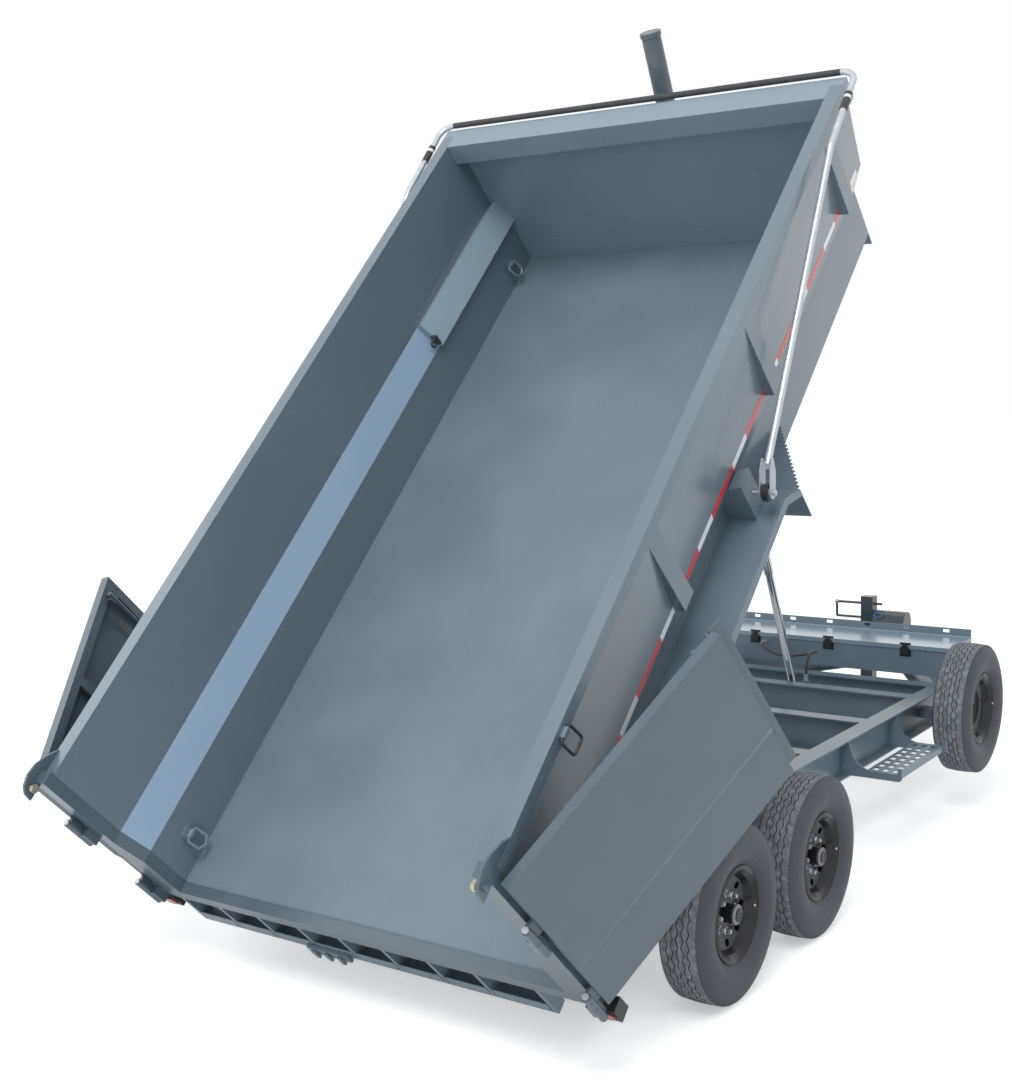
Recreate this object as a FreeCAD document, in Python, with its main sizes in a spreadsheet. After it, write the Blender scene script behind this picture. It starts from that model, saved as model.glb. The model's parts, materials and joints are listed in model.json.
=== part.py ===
import FreeCAD, Part
import math
import os
import re

import Sketcher
from FreeCAD import Placement, Rotation, Vector

# A 14 ft low-profile tandem-axle dump trailer, parked on its jack with the bed raised.
# The frame is drawn with its hinge axis over y = 0 and its wheels on z = 0.
# The bed is drawn lying flat, with the hinge axis at its own origin.
# The whole trailer is then moved back so that the jack's foot stands at the origin.

doc = FreeCAD.newDocument("DumpTrailer")
sheet = doc.addObject("Spreadsheet::Sheet", "sizes")

# Driving sizes in millimetres and degrees: name, value, what it measures
SIZES = (
    ("hinge_height", 619, "ground to the axis the bed turns on"),
    ("bed_tilt", 45, "angle of the raised bed"),
    ("frame_top", 672, "ground to the top of the main rails"),
    ("beam_tall", 203, "depth of the main I-beams"),
    ("beam_wide", 108, "flange width of the main I-beams"),
    ("beam_web", 7, "web of the main I-beams"),
    ("beam_flange", 9, "flange of the main I-beams"),
    ("rail_mid", 892, "centre plane to the middle of a main rail"),
    ("rail_rear", 20, "hinge axis to the rear end of the rails"),
    ("beam_rear", 105, "hinge axis to the rearmost crossmember"),
    ("beam_axles", 1068, "hinge axis to the crossmember between the axles"),
    ("beam_waist", 2300, "hinge axis to the crossmember ahead of the wheels"),
    ("beam_third", 3120, "hinge axis to the crossmember at the step"),
    ("beam_pocket", 3876, "hinge axis to the crossmember behind the cylinder"),
    ("beam_front", 4264, "hinge axis to the front crossmember"),
    ("tongue_nose", 5800, "hinge axis to the front end of the tongue beams"),
    ("tongue_gap", 70, "centre plane to a tongue beam's middle at its nose"),
    ("jack_out", 5336, "hinge axis to the middle of the jack"),
    ("jack_side", 89, "outside of the jack's square post"),
    ("jack_wall", 6, "wall of the jack's tubes"),
    ("jack_top", 1040, "ground to the top of the jack"),
    ("jack_bottom", 400, "ground to the lower end of the jack's post"),
    ("jack_leg", 76.4, "outside of the jack's sliding leg"),
    ("jack_foot", 200, "side of the jack's foot plate"),
    ("foot_thick", 12, "thickness of the jack's foot plate"),
    ("box_rear", 4500, "hinge axis to the toolbox's rear face"),
    ("box_deep", 450, "toolbox front to rear"),
    ("box_half", 870, "half the toolbox's width"),
    ("box_tall", 190, "height of the toolbox's walls"),
    ("box_wall", 5, "wall of the toolbox"),
    ("lid_thick", 6, "thickness of the toolbox's lid"),
    ("lid_lip", 22, "turned-down lip of the lid"),
    ("lid_over", 8, "lid's overhang past the toolbox's wall"),
    ("shield_tall", 60, "height of the stone shield over the toolbox's walls"),
    ("tyre_mid", 1182, "centre plane to a tyre's middle"),
    ("tyre_radius", 391, "tyre's outer radius"),
    ("tyre_wide", 226, "tyre's section width"),
    ("rim_radius", 203, "bead seat radius of a rim"),
    ("rim_wide", 178, "width of a rim"),
    ("axle_rear", 618, "hinge axis to the rear axle"),
    ("axle_front", 1519, "hinge axis to the front axle"),
    ("axle_tube", 38, "radius of an axle tube"),
    ("spindle", 20, "radius of a spindle"),
    ("spring_half", 320, "half a leaf spring, eye to middle"),
    ("spring_rise", 62, "eye of a leaf spring over its middle"),
    ("leaf_thick", 9, "thickness of one leaf"),
    ("leaf_wide", 45, "width of a leaf"),
    ("spare_out", 3940, "hinge axis to the spare wheel's middle"),
    ("spare_high", 627, "ground to the spare wheel's middle"),
    ("hinge_pin", 19, "radius of the bed's hinge pins"),
    ("hinge_mid", 776, "centre plane to the middle of a hinge lug"),
    ("lug_thick", 22, "thickness of a hinge lug"),
    ("lug_radius", 35, "radius of a hinge lug round its bore"),
    ("plate_thick", 12, "thickness of bracket plates"),
    ("bed_rear", 472, "rear edge of the floor behind the hinge axis"),
    ("floor_high", 130, "top of the floor over the hinge axis"),
    ("bed_long", 4269, "inside length of the bed"),
    ("floor_half", 1055, "half the floor's width"),
    ("top_half", 1122, "half the width between the upper walls"),
    ("facet_low", 284, "floor to the lower edge of the slanted facet"),
    ("facet_high", 438, "floor to the upper edge of the slanted facet"),
    ("wall_tall", 921, "floor to the top of the walls"),
    ("sheet_thick", 5, "sheet of the floor and lower walls"),
    ("rail_out", 1190, "centre plane to the outside of the top rail"),
    ("rail_deep", 60, "depth of the top rail"),
    ("tape_out", 1140, "centre plane to the wall's outside at the facet"),
    ("cross_tall", 67, "height of the bed's crossmembers"),
    ("cross_wide", 35, "flange of the bed's crossmembers"),
    ("cross_pitch", 305, "spacing of the bed's crossmembers"),
    ("cross_half", 975, "half the length of the bed's crossmembers"),
    ("coupler_low", 560, "ground to the lower edge of the coupler"),
    ("latch_bar", 300, "length of the door's latch handle"),
    ("latch_high", 430, "foot of the door to its latch handle"),
    ("post_first", 1545, "rear edge of the floor to the first side post"),
    ("post_pitch", 1200, "spacing of the side posts"),
    ("post_wide", 100, "width of a side post"),
    ("post_deep", 60, "rear posts front to rear"),
    ("post_top", 941, "floor to the top of the rear posts"),
    ("cap_in", 95, "headboard cap's reach over the load"),
    ("cap_out", 55, "headboard cap's reach ahead of the sheet"),
    ("cap_deep", 120, "depth of the headboard's top beam"),
    ("fender_out", 1292, "centre plane to the fender's edge"),
    ("fender_high", 205, "floor to the fender's top"),
    ("fender_half", 890, "middle of the axles to a fender's end"),
    ("fender_slope", 130, "length of the fender's sloping ends"),
    ("fender_drop", 90, "fall of the fender's sloping ends"),
    ("fender_lip", 45, "depth of the fender's outer lip"),
    ("flap_low", 70, "floor to the bottom of the fender's end flaps, below it"),
    ("tread_reach", 375, "fender's end to the tip of its step plate"),
    ("door_axis_out", 1215, "centre plane to a door's hinge axis"),
    ("door_axis_back", 35, "rear edge of the floor to a door's hinge axis"),
    ("door_thick", 40, "thickness of a door's frame"),
    ("door_gap", 6, "gap between the closed doors"),
    ("door_low", 30, "floor to the bottom of a door, below it"),
    ("door_high", 895, "floor to the top of a door"),
    ("door_open", 250, "angle a door stands open at"),
    ("barrel", 18, "radius of a door hinge's barrel"),
    ("barrel_tall", 90, "length of one half of a door hinge"),
    ("door_pin", 10, "radius of a door's hinge pins"),
    ("door_sheet", 4, "thickness of a door's sheet"),
    ("step_low", 250, "floor to the lower edge of the door's pressed step"),
    ("step_high", 290, "floor to the upper edge of the door's pressed step"),
    ("step_deep", 14, "depth of the door's pressed step"),
    ("flange_over", 60, "reach of the right door's flange over the left door"),
    ("latch_rod", 12, "radius of a door's latch rod"),
    ("arm_out", 1270, "centre plane to a tarp arm"),
    ("arm_radius", 16, "radius of a tarp arm's tube"),
    ("arm_pivot", 2230, "rear edge of the floor to the tarp arm's pivot"),
    ("arm_pivot_high", 325, "floor to the tarp arm's pivot"),
    ("arm_knee", 3850, "rear edge of the floor to the tarp arm's slight bend"),
    ("arm_knee_high", 890, "floor to the tarp arm's slight bend"),
    ("arm_knee_out", 1243, "centre plane to the tarp arm's slight bend"),
    ("arm_reach", 4355, "rear edge of the floor to the tarp bow"),
    ("arm_top", 930, "floor to the tarp bow"),
    ("arm_elbow_out", 1235, "centre plane to a tarp arm at its elbow"),
    ("fork_half", 28, "half the width of a tarp arm's fork"),
    ("fork_long", 150, "tarp arm's pivot to the point of its fork"),
    ("fork_gap", 44, "gap between the fork's plates"),
    ("fork_plate", 4, "thickness of the fork's plates"),
    ("drum_wide", 34, "width of the spring drum"),
    ("drum_radius", 25, "radius of the spring drum"),
    ("arm_bolt", 8, "radius of the tarp arm's pivot bolt"),
    ("foot_out", 4030, "hinge axis to the cylinder's lower pin"),
    ("foot_high", 600, "ground to the cylinder's lower pin"),
    ("eye_ahead", 301, "inside of the headboard to the cylinder's upper pins"),
    ("eye_high", 500, "floor to the cylinder's upper pins"),
    ("cover_above", 581, "cylinder's cover above its pins"),
    ("cover_below", 450, "cylinder's cover below its pins"),
    ("cap_radius", 57, "radius of the cover's cap"),
    ("cover_radius", 52, "radius of the cover"),
    ("rod_radius", 26, "radius of the innermost rod"),
    ("stage_step", 6.5, "growth in radius from one stage to the next"),
    ("stage_gap", 0.5, "radial gap between stages"),
    ("base_pin", 15, "radius of the cylinder's lower pin"),
    ("hose_radius", 9.5, "radius of the hydraulic hose"),
    ("hose_bend", 80, "bend radius of the hydraulic hose"),
)
sheet.set("A1", "size")
for row, (name, value, meaning) in enumerate(SIZES, start=2):
    sheet.set("A%d" % row, meaning)
    sheet.set("B%d" % row, str(value))
    sheet.setAlias("B%d" % row, name)
doc.recompute()
NAMES = {name for name, value, meaning in SIZES}


def size(name):
    """Give the number in the sheet's cell of that name."""
    return float(sheet.get(name))


def cells(formula):
    """Turn the size names in a formula into the sheet's cells."""
    return re.sub(r"[a-z_]+", lambda word: "sizes." + word.group(0)
                  if word.group(0) in NAMES else word.group(0), formula)


nodes = {}


def node(label, piece, place=None):
    """Name a finished piece and seat it where it stands."""
    piece.Label = label
    if place is not None:
        piece.Placement = place
    nodes[label] = piece
    return piece


def plane_of(body, role):
    """Find one of a body's own origin planes."""
    return next(each for each in body.Origin.OriginFeatures if each.Role == role)


def outline(body, role, points, offset):
    """Draw a closed outline through points given as pairs of formulas."""
    sketch = body.newObject("Sketcher::SketchObject", body.Name + "Outline")
    sketch.AttachmentSupport = [(plane_of(body, role), "")]
    sketch.MapMode = "FlatFace"
    sketch.setExpression("AttachmentOffset.Base.z", cells(offset))
    count = len(points)
    spots = [Vector(math.cos(2 * math.pi * i / count), math.sin(2 * math.pi * i / count), 0)
             for i in range(count)]
    for i in range(count):
        sketch.addGeometry(Part.LineSegment(spots[i], spots[(i + 1) % count]), False)
    for i in range(count):
        sketch.addConstraint(Sketcher.Constraint("Coincident", i, 2, (i + 1) % count, 1))
    for i, pair in enumerate(points):
        for kind, formula, start in zip(("DistanceX", "DistanceY"), pair, spots[i]):
            held = sketch.addConstraint(Sketcher.Constraint(kind, -1, 1, i, 1, start))
            sketch.setExpression("Constraints[%d]" % held, cells(formula))
    return sketch


def pad(name, role, points, start, length):
    """Extrude an outline from start along +X, +Y or +Z by length."""
    body = doc.addObject("PartDesign::Body", name)
    back = role == "XZ_Plane"
    offset = "-(%s)" % start if back else start
    sketch = outline(body, role, points, offset)
    grown = body.newObject("PartDesign::Pad", name + "Pad")
    grown.Profile = sketch
    grown.setExpression("Length", cells(length))
    grown.Reversed = back
    return body


def turned(name, role, points):
    """Turn an outline about the first axis of its plane."""
    body = doc.addObject("PartDesign::Body", name)
    sketch = outline(body, role, points, "0")
    spun = body.newObject("PartDesign::Revolution", name + "Turn")
    spun.Profile = sketch
    spun.ReferenceAxis = (sketch, ["H_Axis"])
    spun.Angle = 360
    return body


def box(name, low, span):
    """Make a box from its low corner and its three lengths, all as formulas."""
    made = doc.addObject("Part::Box", name)
    for side, formula in zip(("Length", "Width", "Height"), span):
        made.setExpression(side, cells(formula))
    for axis, formula in zip("xyz", low):
        made.setExpression("Placement.Base." + axis, cells(formula))
    return made


def rod(name, axis, low, radius, length):
    """Make a round bar along an axis from its low end."""
    made = doc.addObject("Part::Cylinder", name)
    made.setExpression("Radius", cells(radius))
    made.setExpression("Height", cells(length))
    turn = {"x": Rotation(Vector(0, 1, 0), 90), "y": Rotation(Vector(1, 0, 0), -90),
            "z": Rotation()}[axis]
    made.Placement = Placement(Vector(), turn)
    for side, formula in zip("xyz", low):
        made.setExpression("Placement.Base." + side, cells(formula))
    return made


def group(name, pieces):
    """Keep pieces that only touch, or stand apart, in one node."""
    made = doc.addObject("Part::Compound", name)
    made.Links = pieces
    return made


def fuse(name, pieces):
    """Weld pieces into one solid."""
    made = doc.addObject("Part::MultiFuse", name)
    made.Shapes = pieces
    made.Refine = True
    return made


def cut(name, base, tools):
    """Cut tools out of a piece."""
    made = doc.addObject("Part::Cut", name)
    made.Base = base
    made.Tool = tools[0] if len(tools) == 1 else group(name + "Tools", tools)
    return made


def shaped(name, shape):
    """Hold a shape made directly from the sizes."""
    made = doc.addObject("Part::Feature", name)
    made.Shape = shape
    return made


# Places that whole assemblies take
FRAME = Placement(Vector(0, -size("jack_out"), 0), Rotation())
HINGE = Vector(0, -size("jack_out"), size("hinge_height"))
BED = Placement(HINGE, Rotation(Vector(1, 0, 0), size("bed_tilt")))


def beam_outline(middle, top, tall="beam_tall"):
    """Section of an I-beam from its middle plane and its top."""
    half, web = "beam_wide / 2", "beam_web / 2"
    low, high = "%s - %s" % (top, tall), top
    inner_low, inner_high = "%s + beam_flange" % low, "%s - beam_flange" % high
    return [("%s - %s" % (middle, half), low), ("%s + %s" % (middle, half), low),
            ("%s + %s" % (middle, half), inner_low), ("%s + %s" % (middle, web), inner_low),
            ("%s + %s" % (middle, web), inner_high), ("%s + %s" % (middle, half), inner_high),
            ("%s + %s" % (middle, half), high), ("%s - %s" % (middle, half), high),
            ("%s - %s" % (middle, half), inner_high), ("%s - %s" % (middle, web), inner_high),
            ("%s - %s" % (middle, web), inner_low), ("%s - %s" % (middle, half), inner_low)]


# Main rails
rails = [pad("Rail" + side, "XZ_Plane", beam_outline(sign + "rail_mid", "frame_top"),
             "rail_rear", "beam_front + beam_wide / 2 - rail_rear")
         for side, sign in (("Left", "-"), ("Right", ""))]
node("frame_rails", group("FrameRails", rails), FRAME)

# Crossmembers between the rails
RAIL_INNER = "rail_mid - beam_wide / 2"
crossmembers = [pad("Cross" + where.title().replace("_", ""), "YZ_Plane",
                    beam_outline(where, "frame_top"), "-(%s)" % RAIL_INNER,
                    "2 * (%s)" % RAIL_INNER)
                for where in ("beam_rear", "beam_axles", "beam_waist", "beam_third",
                              "beam_pocket", "beam_front")]
node("frame_crossmembers", group("FrameCrossmembers", crossmembers), FRAME)

# Tongue beams, which run in from the rails' front ends to the nose
TONGUE_REAR = "beam_front + beam_wide / 2"
tongue = []
for side, sign in (("Left", "-"), ("Right", "")):
    plates = []
    for tag, half, low, tall in (
            ("Bottom", "beam_wide / 2", "frame_top - beam_tall", "beam_flange"),
            ("Web", "beam_web / 2", "frame_top - beam_tall + beam_flange",
             "beam_tall - 2 * beam_flange"),
            ("Top", "beam_wide / 2", "frame_top - beam_flange", "beam_flange")):
        corners = [("%s(rail_mid - %s)" % (sign, half), TONGUE_REAR),
                   ("%s(rail_mid + %s)" % (sign, half), TONGUE_REAR),
                   ("%s(tongue_gap + %s)" % (sign, half), "tongue_nose"),
                   ("%s(tongue_gap - %s)" % (sign, half), "tongue_nose")]
        plates.append(pad("Tongue" + tag + side, "XY_Plane", corners, low, tall))
    tongue.append(fuse("Tongue" + side, plates))
node("tongue_beams", group("TongueBeams", tongue), FRAME)

# Nose channel and ball coupler
nose = box("NosePlate", ("-150", "tongue_nose", "frame_top - beam_tall"),
           ("300", "plate_thick", "beam_tall"))
stem = box("CouplerStem", ("-38", "tongue_nose + plate_thick", "frame_top - beam_tall + 20"),
           ("76", "70", "beam_tall - 40"))
node("coupler_channel", fuse("CouplerChannel", [nose, stem]), FRAME)
socket_long = 190
housing = shaped("CouplerShell", Part.makeBox(76, socket_long, 90, Vector(-38, 0, 0)).fuse(
    Part.makeCylinder(46, 90, Vector(0, socket_long, 0))).cut(
    Part.makeSphere(30, Vector(0, socket_long, 18))).cut(
    Part.makeCylinder(29.5, 18, Vector(0, socket_long, 0))).removeSplitter())
housing_place = Placement(Vector(0, size("tongue_nose") + size("plate_thick") + 70 -
                                 size("jack_out"), size("coupler_low")), Rotation())
node("coupler", housing, housing_place)

# Jack: post on a plate between the tongue beams, sliding leg with its foot, and crank
jack_plate = box("JackPlate", ("-330", "jack_out - 90", "frame_top"), ("660", "180", "10"))
jack_plate_hole = box("JackPlateHole", ("-jack_side / 2", "jack_out - jack_side / 2",
                                        "frame_top"), ("jack_side", "jack_side", "10"))
node("jack_plate", cut("JackPlateCut", jack_plate, [jack_plate_hole]), FRAME)
post_out = box("JackPostOut", ("-jack_side / 2", "jack_out - jack_side / 2", "jack_bottom"),
               ("jack_side", "jack_side", "jack_top - jack_bottom"))
post_in = box("JackPostIn", ("-jack_side / 2 + jack_wall", "jack_out - jack_side / 2 + jack_wall",
                             "jack_bottom"),
              ("jack_side - 2 * jack_wall", "jack_side - 2 * jack_wall",
               "jack_top - jack_bottom - jack_wall"))
node("jack_post", cut("JackPost", post_out, [post_in]), FRAME)
leg = box("JackLegTube", ("-jack_leg / 2", "jack_out - jack_leg / 2", "foot_thick"),
          ("jack_leg", "jack_leg", "jack_bottom + 300 - foot_thick"))
foot = box("JackFoot", ("-jack_foot / 2", "jack_out - jack_foot / 2", "0"),
           ("jack_foot", "jack_foot", "foot_thick"))
node("jack_leg", fuse("JackLeg", [leg, foot]), FRAME)
crank_parts = [rod("CrankShaft", "x", ("-jack_side / 2 - 200", "jack_out", "jack_top - 55"),
                   "9", "200"),
               rod("CrankArm", "z", ("-jack_side / 2 - 200", "jack_out", "jack_top - 160"),
                   "9", "114"),
               rod("CrankGrip", "x", ("-jack_side / 2 - 200", "jack_out", "jack_top - 160"),
                   "9", "185"),
               rod("CrankStub", "x", ("jack_side / 2", "jack_out", "jack_top - 55"), "9", "55")]
node("jack_crank", group("JackCrank", [fuse("JackCrankBent", crank_parts[:3]),
                                       crank_parts[3]]), FRAME)
pump = pad("PumpCover", "YZ_Plane", [
    ("jack_out - 80", "frame_top + 10"), ("jack_out + 80", "frame_top + 10"),
    ("jack_out + 80", "frame_top + 200"), ("jack_out + 60", "frame_top + 248"),
    ("jack_out + 20", "frame_top + 268"), ("jack_out - 20", "frame_top + 268"),
    ("jack_out - 60", "frame_top + 248"), ("jack_out - 80", "frame_top + 200")],
    "jack_side / 2 + 12", "230")
node("pump_cover", pump, FRAME)

# Toolbox over the tongue, open on top, with a stone shield ahead of its lid
BOX_FLOOR = "frame_top"
box_out = box("BoxOut", ("-box_half", "box_rear", BOX_FLOOR),
              ("2 * box_half", "box_deep", "box_tall"))
box_in = box("BoxIn", ("-box_half + box_wall", "box_rear + box_wall", BOX_FLOOR + " + box_wall"),
             ("2 * box_half - 2 * box_wall", "box_deep - 2 * box_wall", "box_tall"))
box_shell = cut("BoxShell", box_out, [box_in])
shield_plate = box("BoxShield", ("-box_half", "box_rear + box_deep", BOX_FLOOR),
                   ("2 * box_half", "box_wall", "box_tall + shield_tall"))
shield_foot = box("BoxShieldFoot", ("-box_half", "box_rear + box_deep + box_wall", BOX_FLOOR),
                  ("2 * box_half", "35", "box_wall"))
SHIELD_SLOTS = (-700, -420, -140, 140, 420, 700)
shield_slots = [box("ShieldSlot%d" % i, ("%d - 22" % middle, "box_rear + box_deep",
                                         BOX_FLOOR + " + box_tall + 28"),
                    ("44", "box_wall", "20")) for i, middle in enumerate(SHIELD_SLOTS)]
shield = cut("BoxShieldCut", shield_plate, shield_slots)
node("toolbox", fuse("ToolboxBody", [box_shell, shield, shield_foot]), FRAME)
LID_Z = BOX_FLOOR + " + box_tall + 0.3"
lid_top = box("LidTop", ("-box_half - lid_over - 3", "box_rear - lid_over", LID_Z),
              ("2 * (box_half + lid_over + 3)", "box_deep + lid_over - 8", "lid_thick"))
lid_lip = box("LidLip", ("-box_half - lid_over - 3", "box_rear - lid_over", LID_Z + " - lid_lip"),
              ("2 * (box_half + lid_over + 3)", "3", "lid_lip"))
lid_knuckle = rod("LidKnuckle", "x", ("-box_half", "box_rear + box_deep - 8",
                                      LID_Z + " + lid_thick"), "6", "2 * box_half")
node("toolbox_lid", fuse("ToolboxLid", [lid_top, lid_lip, lid_knuckle]), FRAME)

# Axles: tube, spindles and brake backing plates
for where, along in (("front", "axle_front"), ("rear", "axle_rear")):
    name = "Axle" + where.title()
    reach = "tyre_mid - tyre_wide / 2 + 20"
    parts = [rod(name + "Tube", "x", ("-(%s)" % reach, along, "tyre_radius"), "axle_tube",
                 "2 * (%s)" % reach),
             rod(name + "Spindle", "x", ("-tyre_mid - 20", along, "tyre_radius"), "spindle",
                 "2 * tyre_mid + 40")]
    for side, low in (("Left", "-(%s) - 6" % reach), ("Right", reach)):
        parts.append(rod(name + "Plate" + side, "x", (low, along, "tyre_radius"), "150", "6"))
    node(where + "_axle", fuse(name, parts), FRAME)


def leaf(middle_y, length, drop):
    """One leaf of a spring, as an arc in its own plane."""
    rise, half = size("spring_rise"), size("spring_half")
    radius = (half * half + rise * rise) / (2 * rise)
    middle_z = size("tyre_radius") - size("axle_tube") - 12 - drop
    thick = size("leaf_thick")
    turn = math.asin(length / radius)
    centre = Vector(0, middle_y, middle_z + radius)

    def spot(r, angle):
        return centre + Vector(0, r * math.sin(angle), -r * math.cos(angle))

    inner, outer = radius, radius + thick
    edges = [Part.Arc(spot(inner, -turn), spot(inner, 0), spot(inner, turn)).toShape(),
             Part.LineSegment(spot(inner, turn), spot(outer, turn)).toShape(),
             Part.Arc(spot(outer, turn), spot(outer, 0), spot(outer, -turn)).toShape(),
             Part.LineSegment(spot(outer, -turn), spot(inner, -turn)).toShape()]
    return Part.Face(Part.Wire(edges)).extrude(Vector(size("leaf_wide"), 0, 0))


# Leaf springs slung under the axles, with hangers and equalisers under the rails
springs, hangers, equalisers = [], [], []
eye_z = size("tyre_radius") - size("axle_tube") - 12 + size("spring_rise")
axles_mid = (size("axle_front") + size("axle_rear")) / 2
rail_low = size("frame_top") - size("beam_tall")
half_leaf = size("leaf_wide") / 2
for sign in (-1, 1):
    x = sign * size("rail_mid")
    for axle in (size("axle_front"), size("axle_rear")):
        stack = [leaf(axle, size("spring_half") * share, size("leaf_thick") * layer)
                 for layer, share in enumerate((1.0, 0.72, 0.45))]
        for end in (-1, 1):
            stack.append(Part.makeCylinder(18, size("leaf_wide"), Vector(
                0, axle + end * size("spring_half"), eye_z - 9), Vector(1, 0, 0)))
        stack.append(Part.makeBox(size("leaf_wide"), 90, 12.7, Vector(
            0, axle - 45, size("tyre_radius") - size("axle_tube") - 13)))
        spring = stack[0].multiFuse(stack[1:])
        spring.translate(Vector(x - half_leaf, 0, 0))
        springs.append(spring.removeSplitter())
    for y in (size("axle_front") + size("spring_half"), axles_mid,
              size("axle_rear") - size("spring_half")):
        for inner in (-1, 1):
            low = x + inner * (half_leaf + 4) - 4
            hangers.append(Part.makeBox(8, 80, rail_low - eye_z + 40,
                                        Vector(low, y - 40, eye_z - 40)))
    middle = Part.makeBox(size("leaf_wide"), 2 * (axles_mid - size("axle_rear") -
                                                  size("spring_half")) - 50, 34,
                          Vector(x - half_leaf, size("axle_rear") + size("spring_half") + 25,
                                 eye_z - 5))
    equalisers.append(middle)
node("leaf_springs", shaped("LeafSprings", Part.Compound(springs)), FRAME)
node("spring_hangers", shaped("SpringHangers", Part.Compound(hangers)), FRAME)
node("spring_equalisers", shaped("SpringEqualisers", Part.Compound(equalisers)), FRAME)

# Wheels: tyre and rim about their own axle, drawn about the X axis
TYRE_BAND = (
    # share of half width, radius inward from the tread
    (0.64, "rim_radius - 8.7"), (0.69, "rim_radius + 10"), (0.97, "rim_radius + 60"),
    (1.00, "rim_radius + 95"), (0.90, "tyre_radius - 42"), (0.76, "tyre_radius - 6"),
    (0.62, "tyre_radius"))


def tyre_points():
    """Half section of a tyre, mirrored to both sidewalls."""
    right = [("%s * tyre_wide / 2" % share, radius) for share, radius in TYRE_BAND]
    left = [("-(%s)" % across, radius) for across, radius in reversed(right)]
    return right + left


def rim_points():
    """Section of a rim's barrel with its disc."""
    half = "rim_wide / 2"
    return [("-(%s)" % half, "rim_radius - 9"), ("-(%s) + 4" % half, "rim_radius + 8"),
            ("-(%s) + 12" % half, "rim_radius - 9"), ("%s - 12" % half, "rim_radius - 9"),
            ("%s - 4" % half, "rim_radius + 8"), (half, "rim_radius - 9"),
            ("%s - 20" % half, "rim_radius - 30"), ("40", "rim_radius - 45"),
            ("28", "110"), ("28", "24"), ("18", "24"), ("18", "112"),
            ("30", "rim_radius - 40"), ("%s - 34" % half, "rim_radius - 18"),
            ("-(%s)" % half, "rim_radius - 18")]


def hub_shape():
    """Brake drum and hub on the axle's spindle, with the cap over its end."""
    bore = size("spindle") + 0.5
    drum = Part.makeCylinder(155, 62, Vector(-60, 0, 0), Vector(1, 0, 0))
    hollow = Part.makeCylinder(146, 50, Vector(-60, 0, 0), Vector(1, 0, 0))
    hub = Part.makeCylinder(58, 78, Vector(-60, 0, 0), Vector(1, 0, 0))
    face = Part.makeCylinder(95, 16, Vector(2, 0, 0), Vector(1, 0, 0))
    cap = Part.makeCylinder(42, 62, Vector(18, 0, 0), Vector(1, 0, 0))
    spindle = Part.makeCylinder(bore, 84, Vector(-61, 0, 0), Vector(1, 0, 0))
    return drum.cut(hollow).multiFuse([hub, face, cap]).cut(spindle).removeSplitter()


WHEELS = (
    # name, side, along
    ("front_right", 1, "axle_front"), ("front_left", -1, "axle_front"),
    ("rear_right", 1, "axle_rear"), ("rear_left", -1, "axle_rear"))


def wheel_place(side, along, high):
    """Stand a wheel on its side of the trailer."""
    turn = Rotation() if side > 0 else Rotation(Vector(0, 0, 1), 180)
    return Placement(Vector(side * size("tyre_mid"), size(along) - size("jack_out"), high), turn)


for name, side, along in WHEELS:
    place = wheel_place(side, along, size("tyre_radius"))
    title = name.title().replace("_", "")
    node(name + "_tyre", turned(title + "Tyre", "XY_Plane", tyre_points()), place)
    disc = turned(title + "Rim", "XY_Plane", rim_points())
    holes = [shaped(title + "Hole%d" % i, Part.makeCylinder(17, 60, Vector(
        10, 134 * math.cos(math.radians(45 * i)), 134 * math.sin(math.radians(45 * i))),
        Vector(1, 0, 0))) for i in range(8)]
    rim = cut(title + "RimCut", disc, holes)
    hub = shaped(title + "Hub", hub_shape())
    node(name + "_rim", fuse(title + "Wheel", [rim, hub]), place)

# Spare wheel beside the tongue, on its bracket
spare_place = wheel_place(1, "spare_out", size("spare_high"))
node("spare_tyre", turned("SpareTyre", "XY_Plane", tyre_points()), spare_place)
node("spare_rim", turned("SpareRim", "XY_Plane", rim_points()), spare_place)
SPARE_FACE = "tyre_mid + 18"
spare_arm = box("SpareArm", ("rail_mid + beam_web / 2", "spare_out - 40", "spare_high - 90"),
                ("%s - rail_mid - beam_web / 2 - 12" % SPARE_FACE, "80", "60"))
spare_plate = box("SparePlate", (SPARE_FACE + " - 12", "spare_out - 75", "spare_high - 90"),
                  ("12", "150", "180"))
node("spare_mount", fuse("SpareMount", [spare_arm, spare_plate]), FRAME)

# Side step: two curved brackets on the right rail carry its slotted tread
STEP_ROWS = (("Rear", 2640), ("Front", 3360))
STEP_THICK = 8
WEB_OUT = "rail_mid + beam_wide / 2"
STEP_OUTLINE = (
    # out from the rail's flange, down from its top
    (60, 192), (285, 192), (300, 180), (300, 118), (284, 118), (274, 152), (120, 152),
    (84, 140), (50, 118), (26, 88), (12, 50))
step_parts = []
for tag, along in STEP_ROWS:
    points = [("rail_mid + beam_web / 2", "frame_top - beam_flange"),
              ("rail_mid + beam_web / 2", "frame_top - beam_tall + beam_flange"),
              (WEB_OUT, "frame_top - beam_tall + beam_flange")]
    points += [("%s + %d" % (WEB_OUT, out), "frame_top - %d" % down)
               for out, down in STEP_OUTLINE]
    points.append((WEB_OUT, "frame_top - beam_flange"))
    step_parts.append(pad("Step" + tag, "XZ_Plane", points,
                          "%d - %d / 2" % (along, STEP_THICK), str(STEP_THICK)))
TREAD_REAR, TREAD_FRONT = STEP_ROWS[0][1] + STEP_THICK // 2, STEP_ROWS[1][1] - STEP_THICK // 2
tread_plate = box("StepTread", (WEB_OUT + " + 100", str(TREAD_REAR), "frame_top - 158"),
                  ("182", str(TREAD_FRONT - TREAD_REAR), "6"))
tread_slots = []
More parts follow.
